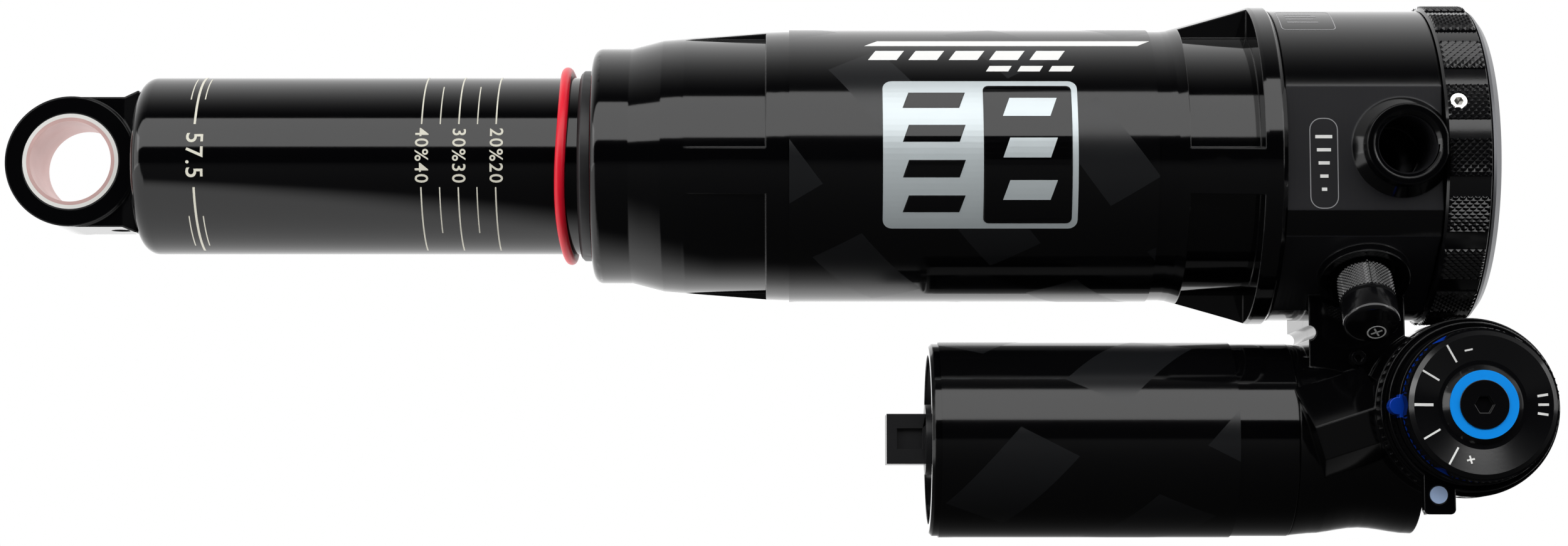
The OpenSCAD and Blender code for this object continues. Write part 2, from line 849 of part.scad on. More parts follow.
module floating_piston() {
    color("silver") at_reservoir() difference() {
        disc(ifp_x, ifp_x + ifp_l, res_bore_r - run);
        disc(ifp_x - cut, ifp_x + ifp_l - 3, res_bore_r - 3.5);
        ring(ifp_x + 5, ifp_x + 7.2, res_bore_r + cut, res_bore_r - 1.9);
    }
}

module floating_piston_seal() {
    color("darkslategray") at_reservoir() oring(ifp_x + 6.1, res_bore_r - run - 0.9, 0.9);
}

module adjuster_housing() {
    ribs = 60;
    color("black") difference() {
        union() {
            dial_disc(boss_front, boss_front + housing_l, boss_r - 0.1);
            dial_disc(cup_t + 6, boss_front + cut, boss_bore_r);
        }
        dial_disc(cup_t, lever_t, lever_hub_r + run);
        for (k = [0:ribs - 1]) at_dial(boss_front + 0.8) rotate([0, 0, 360 / ribs * k])
            translate([boss_r - 0.35, -0.3, 0]) cube([1, 0.6, housing_l - 1.6]);
    }
}

// Lever tab, placed from the dial axis: middle and width along the shock, reach below
lever_tab_x = -5.3;
lever_tab_w = 4.7;
lever_tab_reach = 16;
lever_dot_drop = 13.1;

module threshold_lever() {
    corner = 0.8;
    color("black") difference() {
        union() {
            dial_disc(lever_t, lever_t + lever_l, hsc_d / 2 + 1);
            dial_disc(cup_t + 7, lever_t + cut, lever_hub_r);
            at_dial(lever_t) translate([lever_tab_x - lever_tab_w / 2, -lever_tab_reach, 0]) {
                translate([0, corner, 0]) cube([lever_tab_w, lever_tab_reach / 2, lever_l]);
                translate([corner, 0, 0]) cube([lever_tab_w - 2 * corner, 2 * corner, lever_l]);
                for (x = [corner, lever_tab_w - corner]) translate([x, corner, 0])
                    cylinder(r = corner, h = lever_l);
                translate([corner, 0, -2.6])
                    cube([lever_tab_w - 2 * corner, lever_tab_reach - boss_r - gap - 0.8, 2.7]);
            }
        }
        dial_disc(cup_t, lever_t + lever_l + cut, hsc_hub_r + run);
        lever_dot_place() cylinder(r = 1.3, h = 2);
    }
}

module lever_dot_place() {
    at_dial(lever_t + lever_l - 0.6) translate([lever_tab_x - 0.2, -lever_dot_drop, 0]) children();
}

module lever_dot() {
    color("lightblue") lever_dot_place() cylinder(r = 1.3, h = 0.75);
}

module hsc_ring() {
    nub_angle = 180;
    color("royalblue") difference() {
        union() {
            dial_disc(hsc_t, hsc_t + hsc_l, hsc_d / 2);
            dial_disc(cup_t + 8.5, hsc_t + cut, hsc_hub_r);
            at_dial(hsc_t) rotate([0, 0, nub_angle]) translate([hsc_d / 2 + 0.1, 0, 0])
                cylinder(r = 1.3, h = hsc_l);
        }
        dial_disc(cup_t, hsc_t + hsc_l + cut, lsc_hub_r + run);
    }
}

module hsc_preload_cup() {
    color("silver") dial_tube(cup_t, cup_t + 3.4, boss_bore_r - run, lsc_hub_r + run);
}

module hsc_spring() {
    color("silver") at_dial(spring_t) coil_spring(6.4, 0.7, spring_l, 3);
}

// Rim of the dial: fine teeth in groups, with smooth scallops between the groups
function dial_rim(a) =
    let (scallop = 0.4 * pow(max(0, cos(6 * a)), 6), tooth = 0.2 * abs(sin(dial_teeth / 2 * a)))
    dial_d / 2 - scallop - (scallop < 0.05 ? tooth : 0);

module lsc_dial() {
    steps = 4 * dial_teeth;
    r = dial_d / 2;
    back = lsc_t;
    front = lsc_t + lsc_l;
    color("black") difference() {
        union() {
            at_dial(back) linear_extrude(lsc_l - 1.4)
                polygon([for (i = [0:steps - 1]) let (a = 360 * i / steps)
                    dial_rim(a) * [cos(a), sin(a)]]);
            at_dial() rotate_extrude() polygon([[0, front - 1.5], [r - 0.45, front - 1.5],
                [r - 0.45, front - 1.2], [r - 1.15, front - 0.7], [6.05, front - 1.5],
                [5.1, front - 0.5], [0, front - 0.5]]);
            dial_disc(cup_t + 9, back + cut, lsc_hub_r);
        }
        dial_disc(front - 1.2, front + cut, 5.1 - 0.02);
        dial_disc(back, front, 1.25);
        dial_disc(cup_t, back - 1.5, needle_r + run);
    }
}

module dial_ring() {
    front = lsc_t + lsc_l;
    color("deepskyblue") dial_tube(front - 1.2, front - 0.3, 5.1 - 0.02, 3.64);
}

module dial_screw() {
    front = lsc_t + lsc_l;
    color("black") difference() {
        union() {
            dial_disc(front - 1.2, front - 0.1, 3.64);
            dial_disc(lsc_t + 0.3, front - 1, 1.25);
        }
        at_dial(front - 0.1) hex_socket(2.5, 0.8);
    }
}

module lsc_needle() {
    tip_t = base_valve_t + 1;
    color("silver") at_dial() rotate_extrude() polygon([[0, tip_t], [0.5, tip_t],
        [needle_r, tip_t + 3], [needle_r, lsc_t - 3], [0, lsc_t - 3]]);
}

module base_valve_body() {
    ports = 6;
    color("goldenrod") difference() {
        dial_disc(base_valve_t, base_valve_t + base_valve_l, boss_bore_r);
        dial_disc(base_valve_t - cut, base_valve_t + base_valve_l + cut, needle_r + gap);
        for (k = [0:ports - 1]) at_dial(base_valve_t - cut) rotate([0, 0, 360 / ports * k])
            translate([6.6, 0, 0]) cylinder(r = 1.1, h = base_valve_l + 2 * cut);
    }
}

module base_valve_shims() {
    count = 3;
    step = base_shim_l / count;
    color("lightsteelblue") for (k = [0:count - 1])
        dial_tube(base_valve_t - step * (k + 1), base_valve_t - step * k, 8.4 - k, needle_r + gap);
}

lower_eyelet();
bushing_shell();
bushing_liner();
bleed_screw();
damper_tube();
sag_ring();
dust_wiper();
air_can();
air_can_decal();
neck_air_seal();
backup_ring();
neck_bushing();
top_out_bumper();
air_piston();
air_piston_seal();
air_piston_band();
shaft_bushing();
shaft_oil_seal();
damper_shaft();
main_piston();
main_piston_band();
compression_shims();
rebound_shims();
piston_nut();
rebound_rod();
bottom_out_bumper();
volume_spacer();
can_oring();
trunnion_head();
gallery_plug();
rebound_ring();
ring_set_screw();
ring_end_plate();
detent_balls();
detent_springs();
valve_stem();
valve_core();
valve_pin();
valve_cap();
reservoir_tube();
reservoir_decal();
reservoir_orings();
reservoir_end_cap();
charge_valve();
charge_port_cap();
floating_piston();
floating_piston_seal();
adjuster_housing();
threshold_lever();
lever_dot();
hsc_ring();
hsc_preload_cup();
hsc_spring();
lsc_dial();
dial_ring();
dial_screw();
lsc_needle();
base_valve_body();
base_valve_shims();
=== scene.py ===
"""Studio scene of an air-sprung rear shock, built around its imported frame.

Every piece is modelled in metres in the shock's own frame: the origin is the lower
eyelet bore, +X runs along the shock to the head and the dials face -Y.
"""
import json
import logging
import math
from contextlib import contextmanager
from dataclasses import dataclass
from enum import Enum
from typing import Callable, Iterator, Sequence

import bmesh
import bpy
from mathutils import Matrix, Vector


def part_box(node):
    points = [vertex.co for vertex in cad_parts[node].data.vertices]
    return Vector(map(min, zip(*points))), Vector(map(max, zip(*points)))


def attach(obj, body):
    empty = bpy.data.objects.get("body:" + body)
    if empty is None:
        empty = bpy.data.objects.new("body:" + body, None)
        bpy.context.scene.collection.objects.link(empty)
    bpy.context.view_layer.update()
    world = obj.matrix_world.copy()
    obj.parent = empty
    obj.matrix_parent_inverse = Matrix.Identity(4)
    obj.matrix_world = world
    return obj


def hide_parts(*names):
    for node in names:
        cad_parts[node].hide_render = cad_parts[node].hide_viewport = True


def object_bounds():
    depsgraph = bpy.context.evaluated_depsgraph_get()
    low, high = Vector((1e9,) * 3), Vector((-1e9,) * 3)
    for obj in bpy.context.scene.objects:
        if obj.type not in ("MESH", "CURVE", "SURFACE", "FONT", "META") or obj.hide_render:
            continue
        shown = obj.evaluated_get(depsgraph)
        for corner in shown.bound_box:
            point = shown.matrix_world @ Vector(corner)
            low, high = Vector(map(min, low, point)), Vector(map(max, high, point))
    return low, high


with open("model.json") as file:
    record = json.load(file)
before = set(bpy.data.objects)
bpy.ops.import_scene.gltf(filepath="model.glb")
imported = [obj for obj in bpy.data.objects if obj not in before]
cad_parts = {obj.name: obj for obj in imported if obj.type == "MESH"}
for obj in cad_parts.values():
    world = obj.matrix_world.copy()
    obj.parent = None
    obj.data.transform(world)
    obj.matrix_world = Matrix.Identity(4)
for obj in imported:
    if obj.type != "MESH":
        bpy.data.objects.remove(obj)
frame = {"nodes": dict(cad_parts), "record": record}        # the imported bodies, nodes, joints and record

CAD_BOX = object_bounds()
MM = 0.001
FULL_TURN = 2 * math.pi
SEED_SIZE = 0.0001             # a plane this small is merged to start a profile
TEXT_SIZE_PER_HEIGHT = 1.38    # font size that gives digits of unit height
TEXT_BOLDNESS = 0.012          # how far strokes grow, as a share of the height
log = logging.getLogger("rear_shock")

Colour = tuple[float, float, float]
Point = tuple[float, float]


# ---------------------------------------------------------------- measuring the frame


def centre_of(node: str) -> Vector:
    """Middle of a frame node's box.

    Args:
        node: Name of the node.

    Returns:
        The point midway between the box's corners, in metres.
    """
    low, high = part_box(node)
    return (low + high) / 2


def reach_of(node: str, axis: Sequence[float]) -> Point:
    """How far a frame node reaches along an axis.

    Args:
        node: Name of the node.
        axis: Unit vector to measure along.

    Returns:
        The smallest and the largest distance from the origin.
    """
    way = Vector(axis)
    reaches = [v.co.dot(way) for v in frame["nodes"][node].data.vertices]
    return min(reaches), max(reaches)


def mount(name: str) -> dict:
    """The record's mount of that name."""
    return next(m for m in frame["record"]["mounts"] if m["name"] == name)


DIAL_CENTRE = centre_of("lsc_dial")
RESERVOIR_Z = centre_of("reservoir_tube").z
VALVE = mount("air_valve")


def along_shock(x: float = 0.0) -> Matrix:
    """Places local +Z along the shock, starting at station x."""
    return Matrix.Translation((x, 0, 0)) @ Matrix.Rotation(math.radians(90), 4, "Y")


def along_reservoir(x: float = 0.0) -> Matrix:
    """Places local +Z along the reservoir's axis, starting at station x."""
    return Matrix.Translation((0, 0, RESERVOIR_Z)) @ along_shock(x)


def on_dial(depth: float = 0.0) -> Matrix:
    """Places local +Z towards the front on the dial axis, depth in front of the mid plane."""
    place = Matrix.Translation((DIAL_CENTRE.x, -depth, DIAL_CENTRE.z))
    return place @ Matrix.Rotation(math.radians(90), 4, "X")


def on_valve(reach: float = 0.0) -> Matrix:
    """Places local +Z outwards on the air valve's axis, reach away from the shock's axis."""
    way = Vector(VALVE["axis"]).normalized()
    start = Vector((VALVE["pos_m"][0], 0, 0)) + way * reach
    tilt = math.atan2(-way.y, way.z)
    return Matrix.Translation(start) @ Matrix.Rotation(tilt, 4, "X")


# ------------------------------------------------------------------ bench operations


def deselect() -> None:
    """Leaves nothing selected or active."""
    if bpy.context.object and bpy.context.object.mode != "OBJECT":
        bpy.ops.object.mode_set(mode="OBJECT")
    bpy.ops.object.select_all(action="DESELECT")
    bpy.context.view_layer.objects.active = None


def pick(piece: bpy.types.Object) -> None:
    """Makes one piece the only selected and active one."""
    deselect()
    piece.select_set(True)
    bpy.context.view_layer.objects.active = piece


def take(name: str) -> bpy.types.Object:
    """Names the primitive that was just added and returns it."""
    piece = bpy.context.object
    piece.name = name
    piece.data.name = name
    return piece


@contextmanager
def editing(piece: bpy.types.Object, select: str = "SELECT") -> Iterator[None]:
    """Opens a piece in edit mode, with everything or nothing selected.

    Args:
        piece: The mesh piece to edit.
        select: The action of the first select_all.

    Returns:
        A context in which edit-mode operators act on the piece.
    """
    pick(piece)
    bpy.ops.object.mode_set(mode="EDIT")
    bpy.ops.mesh.select_mode(type="VERT")
    bpy.ops.mesh.select_all(action=select)
    try:
        yield
    finally:
        bpy.ops.object.mode_set(mode="OBJECT")


def select_faces(piece: bpy.types.Object, test: Callable[[Vector, Vector], bool]) -> int:
    """Selects the faces whose centre and normal pass a test, in edit mode.

    Args:
        piece: The piece open in edit mode.
        test: Takes a face's centre and normal.

    Returns:
        How many faces are selected.
    """
    bpy.ops.mesh.select_mode(type="FACE")
    bpy.ops.mesh.select_all(action="DESELECT")
    mesh = bmesh.from_edit_mesh(piece.data)
    chosen = [f for f in mesh.faces if test(f.calc_center_median(), f.normal)]
    for face in chosen:
        face.select_set(True)
    mesh.select_flush(True)
    bmesh.update_edit_mesh(piece.data)
    return len(chosen)


def clean(piece: bpy.types.Object, merge: float = 1e-6) -> bpy.types.Object:
    """Merges doubles and turns every face outwards."""
    with editing(piece):
        bpy.ops.mesh.remove_doubles(threshold=merge)
        bpy.ops.mesh.normals_make_consistent(inside=False)
    return piece


def smooth(piece: bpy.types.Object, degrees: float = 30) -> bpy.types.Object:
    """Smooths the shading of edges flatter than an angle."""
    pick(piece)
    bpy.ops.object.shade_smooth_by_angle(angle=math.radians(degrees))
    return piece


def apply_all(piece: bpy.types.Object) -> None:
    """Applies every modifier of a piece, in order."""
    pick(piece)
    for name in [m.name for m in piece.modifiers]:
        bpy.ops.object.modifier_apply(modifier=name)


def bevel(piece: bpy.types.Object, width: float, segments: int = 2, degrees: float = 35) -> None:
    """Breaks the sharp edges of a piece with a real bevel."""
    cutter = piece.modifiers.new("edge_break", "BEVEL")
    cutter.width = width
    cutter.segments = segments
    cutter.limit_method = "ANGLE"
    cutter.angle_limit = math.radians(degrees)
    cutter.harden_normals = True
    apply_all(piece)


def put(piece: bpy.types.Object, place: Matrix) -> bpy.types.Object:
    """Moves a piece's mesh to its place and leaves the object at the origin."""
    pick(piece)
    bpy.ops.object.transform_apply(location=True, rotation=True, scale=True)
    piece.data.transform(place)
    return piece


def join(name: str, pieces: Sequence[bpy.types.Object]) -> bpy.types.Object:
    """Joins several pieces into one mesh.

    Args:
        name: Name of the joined piece.
        pieces: The pieces, which are used up.

    Returns:
        The joined piece.
    """
    deselect()
    for piece in pieces:
        piece.select_set(True)
    bpy.context.view_layer.objects.active = pieces[0]
    bpy.ops.object.join()
    return take(name)


def copy_of(piece: bpy.types.Object, place: Matrix) -> bpy.types.Object:
    """A copy of a piece with its own mesh, moved by a matrix."""
    double = piece.copy()
    double.data = piece.data.copy()
    bpy.context.scene.collection.objects.link(double)
    double.data.transform(place)
    return double


def lathe(name: str, profile: Sequence[Point], steps: int = 96) -> bpy.types.Object:
    """Turns a profile about local Z.

    Args:
        name: Name of the piece.
        profile: [radius, height] points in metres, from one end to the other.
        steps: Facets around the axis.

    Returns:
        The turned piece, standing on local Z.
    """
    deselect()
    first = Vector((profile[0][0], 0, profile[0][1]))
    bpy.ops.mesh.primitive_plane_add(size=SEED_SIZE, location=first)
    piece = take(name)
    put(piece, Matrix.Identity(4))
    with editing(piece):
        bpy.ops.mesh.merge(type="CENTER")
        here = first
        for radius, height in profile[1:]:
            step = Vector((radius, 0, height)) - here
            bpy.ops.mesh.extrude_region_move(TRANSFORM_OT_translate={"value": step})
            here = Vector((radius, 0, height))
        bpy.ops.mesh.select_all(action="SELECT")
        bpy.ops.mesh.spin(steps=steps, angle=FULL_TURN, center=(0, 0, 0), axis=(0, 0, 1))
    return clean(piece)


def wrap(piece: bpy.types.Object, radius: float) -> bpy.types.Object:
    """Rolls a flat piece onto a cylinder about local Z.

    The piece lies in the XY plane: its X becomes the height along the axis, its Y
    the arc length from the front, and its Z the height over the cylinder.

    Args:
        piece: The flat piece, applied.
        radius: Radius of the cylinder.

    Returns:
        The same piece.
    """
    for vertex in piece.data.vertices:
        along, arc, proud = vertex.co
        angle = arc / radius
        reach = radius + proud
        vertex.co = (along, -reach * math.cos(angle), reach * math.sin(angle))
    return piece


def strip(name: str, low: Point, high: Point, thick: float, pieces: int = 12) -> bpy.types.Object:
    """A flat bar of ink between two corners, cut finely enough to be wrapped.

    Args:
        name: Name of the bar.
        low: Corner with the smaller X and Y.
        high: Corner with the larger X and Y.
        thick: Thickness of the ink.
        pieces: Cuts along Y.

    Returns:
        The bar, lying in the XY plane.
    """
    deselect()
    bpy.ops.mesh.primitive_grid_add(x_subdivisions=1, y_subdivisions=pieces, size=1)
    bar = take(name)
    bar.scale = (high[0] - low[0], high[1] - low[1], 1)
    bar.location = ((high[0] + low[0]) / 2, (high[1] + low[1]) / 2, 0)
    put(bar, Matrix.Identity(4))
    with editing(bar):
        bpy.ops.mesh.extrude_region_move(TRANSFORM_OT_translate={"value": (0, 0, thick)})
    return clean(bar)


def lettering(name: str, words: str, height: float, thick: float, spacing: float = 1.0
              ) -> bpy.types.Object:
    """Numbers cut as a thin solid, centred on the origin in the XY plane.

    Args:
        name: Name of the piece.
        words: The digits to draw.
        height: Height of the digits.
        thick: Thickness of the ink.
        spacing: Distance between digits, against the usual.

    Returns:
        A mesh piece.
    """
    deselect()
    bpy.ops.object.text_add()
    text = take(name)
    text.data.body = words
    text.data.size = height * TEXT_SIZE_PER_HEIGHT
    text.data.align_x = "CENTER"
    text.data.align_y = "CENTER"
    text.data.extrude = thick / 2
    text.data.space_character = spacing
    text.data.offset = height * TEXT_BOLDNESS
    text.data.resolution_u = 4
    pick(text)
    bpy.ops.object.convert(target="MESH")
    return clean(take(name))


def frame_copy(name: str, node: str) -> bpy.types.Object:
    """A merged copy of a frame node's mesh, to be worked on.

    Args:
        name: Name of the copy.
        node: The frame node.

    Returns:
        The copy, with its triangles joined into faces.
    """
    source = frame["nodes"][node]
    piece = bpy.data.objects.new(name, source.data.copy())
    bpy.context.scene.collection.objects.link(piece)
    piece.data.materials.clear()
    with editing(piece):
        bpy.ops.mesh.remove_doubles(threshold=2e-6)
        bpy.ops.mesh.dissolve_limited(angle_limit=math.radians(0.6))
    return piece


# --------------------------------------------------------------------------- finishes


class Graph:
    """A material's node tree, with short calls for the nodes used here."""

    def __init__(self, name: str) -> None:
        """Starts a material that holds one Principled shader."""
        self.material = bpy.data.materials.new(name)
        self.material.use_nodes = True
        self.tree = self.material.node_tree
        self.shader = self.tree.nodes["Principled BSDF"]
        self.place = self.node("ShaderNodeTexCoord").outputs["Object"]

    def node(self, kind: str, **settings: object) -> bpy.types.Node:
        """Adds a node and sets its properties."""
        made = self.tree.nodes.new(kind)
        for key, value in settings.items():
            setattr(made, key, value)
        return made

    def link(self, source: bpy.types.NodeSocket, target: bpy.types.NodeSocket) -> None:
        """Joins an output to an input."""
        self.tree.links.new(source, target)

    def feed(self, socket: bpy.types.NodeSocket, value: object) -> None:
        """Gives an input a number or another node's output."""
        if isinstance(value, bpy.types.NodeSocket):
            self.link(value, socket)
        else:
            socket.default_value = value

    def math(self, operation: str, *values: object) -> bpy.types.NodeSocket:
        """Adds a Math node.

        Args:
            operation: The node's operation.
            values: Its inputs, numbers or outputs.

        Returns:
            The node's output.
        """
        made = self.node("ShaderNodeMath", operation=operation)
        for socket, value in zip(made.inputs, values):
            self.feed(socket, value)
        return made.outputs[0]

    def axes(self) -> tuple[bpy.types.NodeSocket, ...]:
        """The X, Y and Z of a point on the piece, in metres."""
        split = self.node("ShaderNodeSeparateXYZ")
        self.link(self.place, split.inputs[0])
        return tuple(split.outputs)

    def noise(self, scale: float, detail: float = 3, stretch: Sequence[float] = (1, 1, 1)
              ) -> bpy.types.NodeSocket:
        """Noise over the piece.

        Args:
            scale: Features per metre.
            detail: Octaves of finer noise.
            stretch: Scale of each axis.

        Returns:
            The noise value, from 0 to 1.
        """
        mapping = self.node("ShaderNodeMapping")
        mapping.inputs["Scale"].default_value = stretch
        self.link(self.place, mapping.inputs["Vector"])
        made = self.node("ShaderNodeTexNoise")
        made.inputs["Scale"].default_value = scale
        made.inputs["Detail"].default_value = detail
        self.link(mapping.outputs[0], made.inputs["Vector"])
        return made.outputs[0]

    def spread(self, value: bpy.types.NodeSocket, low: float, high: float
               ) -> bpy.types.NodeSocket:
        """Maps 0 to 1 onto a range."""
        made = self.node("ShaderNodeMapRange")
        self.feed(made.inputs["Value"], value)
        made.inputs["To Min"].default_value = low
        made.inputs["To Max"].default_value = high
        return made.outputs[0]

    def blend_colour(self, share: object, first: object, second: object
                     ) -> bpy.types.NodeSocket:
        """Mixes two colours by a share."""
        made = self.node("ShaderNodeMix", data_type="RGBA")
        self.feed(made.inputs["Factor"], share)
        for socket, value in ((made.inputs[6], first), (made.inputs[7], second)):
            self.feed(socket, (*value, 1) if isinstance(value, tuple) else value)
        return made.outputs[2]

    def bump(self, height: bpy.types.NodeSocket, depth: float, strength: float = 1.0
             ) -> None:
        """Raises the surface by a height field, on top of earlier bumps.

        Args:
            height: The field, from 0 to 1.
            depth: Real height of 1, in metres.
            strength: Share of the effect.
        """
        made = self.node("ShaderNodeBump")
        made.inputs["Distance"].default_value = depth
        made.inputs["Strength"].default_value = strength
        self.link(height, made.inputs["Height"])
        earlier = self.shader.inputs["Normal"]
        if earlier.is_linked:
            self.link(earlier.links[0].from_socket, made.inputs["Normal"])
        self.link(made.outputs[0], earlier)


PATCHES_PER_METRE = 90     # broad colour variation
SMUDGES_PER_METRE = 260    # handling marks in the gloss
EDGE_SAMPLES = 4


class Grain(Enum):
    """The marks that a maker's process leaves on a surface.

    Each holds its noise scale, its octaves, the stretch of each axis and the share of
    the finish's depth that it reaches.
    """

    TURNED = (1, 2, (9000, 90, 90), 1.0)          # fine rings around the shock's axis
    CAST = (2600, 3, (1, 1, 1), 1.0)              # soft, even tooth
    POLISHED = (1400, 3, (1, 1, 1), 0.4)          # hardly a mark
    MOULDED = (7000, 2, (1, 1, 1), 1.0)           # fine spark-eroded texture


@dataclass(frozen=True)
class Finish:
    """One surface finish, built as a node material.

    Fields give its colour, how metallic and how rough it is, the share by which
    roughness varies, the grain, the depth of that grain and the radius of its worn
    edges in metres.
    """

    name: str
    colour: Colour
    metallic: float = 0.0
    roughness: float = 0.3
    vary: float = 0.15
    grain: Grain = Grain.POLISHED
    depth: float = 2e-6
    ior: float = 1.5
    tone: float = 0.12
    worn: float = 0.0

    def build(self) -> bpy.types.Material:
        """The finish's material, made once."""
        title = f"{self.name}_finish"
        made = bpy.data.materials.get(title)
        if made:
            return made
        graph = Graph(title)
        shader = graph.shader
        shader.inputs["Metallic"].default_value = self.metallic
        shader.inputs["IOR"].default_value = self.ior
        patches = graph.noise(PATCHES_PER_METRE, 4)
        darker = tuple(c * (1 - self.tone) for c in self.colour)
        lighter = tuple(min(1.0, c * (1 + self.tone)) for c in self.colour)
        graph.link(graph.blend_colour(patches, darker, lighter), shader.inputs["Base Color"])
        low = self.roughness * (1 - self.vary)
        high = self.roughness * (1 + self.vary)
        smudges = graph.noise(SMUDGES_PER_METRE, 5)
        graph.link(graph.spread(smudges, low, high), shader.inputs["Roughness"])
        if self.worn:
            edges = graph.node("ShaderNodeBevel", samples=EDGE_SAMPLES)
            edges.inputs["Radius"].default_value = self.worn
            graph.link(edges.outputs[0], shader.inputs["Normal"])
        self.mark(graph)
        self.dress(graph)
        return graph.material

    def mark(self, graph: Graph) -> None:
        """Adds the grain's bump to the graph."""
        scale, octaves, stretch, share = self.grain.value
        graph.bump(graph.noise(scale, octaves, stretch), self.depth * share)

    def dress(self, graph: Graph) -> None:
        """Adds what only one finish has. The plain finish adds nothing."""


@dataclass(frozen=True)
class MilledForging(Finish):
    """Gloss anodised forging whose flats are milled to a satin, with cutter marks.

    Fields give the distance of the side flats from the mid plane, the distance and
    direction of the valve's pad, how near a point lies to a flat to be on it, and the
    milled faces' colour, added roughness and depth of cutter marks.
    """

    flat_y: float = 0.0226
    pad_reach: float = 0.023
    pad_axis: tuple[float, float, float] = (0, -0.6, -0.8)
    near: float = 4e-5
    milled_colour: Colour = (0.016, 0.016, 0.018)
    satin: float = 0.16
    cutter_depth: float = 5e-6
    arcs_per_metre: float = 420

    def dress(self, graph: Graph) -> None:
        """Makes the milled faces rougher and gives them cutter passes."""
        x, y, z = graph.axes()
        side = graph.math("COMPARE", graph.math("ABSOLUTE", y), self.flat_y, self.near)
        up = graph.math("MULTIPLY", z, self.pad_axis[2])
        out = graph.math("MULTIPLY_ADD", y, self.pad_axis[1], up)
        pad = graph.math("COMPARE", out, self.pad_reach, self.near)
        milled = graph.math("MAXIMUM", side, pad)
        passes = graph.noise(1, 2, (5200, 300, 900))
        arcs = graph.node("ShaderNodeTexWave", wave_type="RINGS", rings_direction="Y")
        arcs.inputs["Scale"].default_value = self.arcs_per_metre
        arcs.inputs["Distortion"].default_value = 1.2
        graph.link(graph.place, arcs.inputs["Vector"])
        marks = graph.math("MULTIPLY", graph.math("ADD", passes, arcs.outputs["Fac"]), milled)
        graph.bump(marks, self.cutter_depth)
        rough = graph.shader.inputs["Roughness"]
        base = rough.links[0].from_socket
        graph.link(graph.math("MULTIPLY_ADD", milled, self.satin, base), rough)
        tint = graph.shader.inputs["Base Color"]
        paint = tint.links[0].from_socket
        graph.link(graph.blend_colour(milled, paint, self.milled_colour), tint)


@dataclass(frozen=True)
class TwoToneRing(Finish):
    """Anodised ring whose toothed rim is blacked out and whose nub and face stay coloured.

    Fields give the dial axis, the radius past which the rim is black, the half width of
    the nub and the colour of the rim.
    """

    axis: Point = (0.214, -0.039)
    rim: float = 0.0113
    nub: float = 0.0017
    rim_colour: Colour = (0.003, 0.003, 0.0036)

    def dress(self, graph: Graph) -> None:
        """Blackens the teeth and leaves the nub blue."""
        x, _, z = graph.axes()
        across = graph.math("SUBTRACT", x, self.axis[0])
        up = graph.math("SUBTRACT", z, self.axis[1])
        square = graph.math("MULTIPLY_ADD", across, across, graph.math("MULTIPLY", up, up))
        outer = graph.math("GREATER_THAN", graph.math("SQRT", square), self.rim)
        beside = graph.math("GREATER_THAN", graph.math("ABSOLUTE", up), self.nub)
        right = graph.math("GREATER_THAN", across, 0.0)
        off_nub = graph.math("MAXIMUM", beside, right)
        black = graph.math("MULTIPLY", outer, off_nub)
        tint = graph.shader.inputs["Base Color"]
        paint = tint.links[0].from_socket
        graph.link(graph.blend_colour(black, paint, self.rim_colour), tint)


@dataclass(frozen=True)
class BandedFilm(Finish):
    """Clear film printed with broad satin bands that run diagonally around a tube.

    Fields give the tube's radius, its axis's height, the bands' pitch, slant, colour,
    roughness and phase. A second set of bands crosses the first: its slant and pitch
    are shares of the first's. The cuts say how much of a band is inked, and the dots
    are those of the printer's screen.
    """

    radius: float = 0.0215
    axis_z: float = 0.0
    pitch: float = 0.026
    slant: float = 0.75
    band_colour: Colour = (0.009, 0.0095, 0.0105)
    band_roughness: float = 0.24
    phase: float = 0.0
    cut: float = 0.25
    cross_slant: float = -2.2
    cross_pitch: float = 1.9
    cross_cut: float = -0.35
    dots_per_metre: float = 2400
    dot_radius: float = 0.22
    dot_ink: float = 0.8

    def dress(self, graph: Graph) -> None:
        """Paints the bands from the place along and around the tube."""
        x, y, z = graph.axes()
        height = graph.math("SUBTRACT", z, self.axis_z)
        angle = graph.math("ARCTAN2", height, graph.math("MULTIPLY", y, -1.0))
        arc = graph.math("MULTIPLY", angle, self.radius)
        slope = graph.math("MULTIPLY_ADD", arc, self.slant, x)
        turns = graph.math("MULTIPLY_ADD", slope, FULL_TURN / self.pitch, self.phase)
        broad = graph.math("GREATER_THAN", graph.math("SINE", turns), self.cut)
        cross = graph.math("MULTIPLY_ADD", arc, self.cross_slant * self.slant, x)
        cross_turns = graph.math("MULTIPLY", cross, FULL_TURN / (self.pitch * self.cross_pitch))
        across = graph.math("GREATER_THAN", graph.math("SINE", cross_turns), self.cross_cut)
        band = graph.math("MULTIPLY", broad, across)
        dots = graph.node("ShaderNodeTexVoronoi")
        dots.inputs["Scale"].default_value = self.dots_per_metre
        dots.inputs["Randomness"].default_value = 0.1
        graph.link(graph.place, dots.inputs["Vector"])
        screen = graph.math("GREATER_THAN", dots.outputs["Distance"], self.dot_radius)
        inked = graph.math("MULTIPLY", band, graph.spread(screen, self.dot_ink, 1.0))
        tint = graph.shader.inputs["Base Color"]
        paint = tint.links[0].from_socket
        graph.link(graph.blend_colour(inked, paint, self.band_colour), tint)
        rough = graph.shader.inputs["Roughness"]
        base = rough.links[0].from_socket
        gain = self.band_roughness - self.roughness
        graph.link(graph.math("MULTIPLY_ADD", band, gain, base), rough)


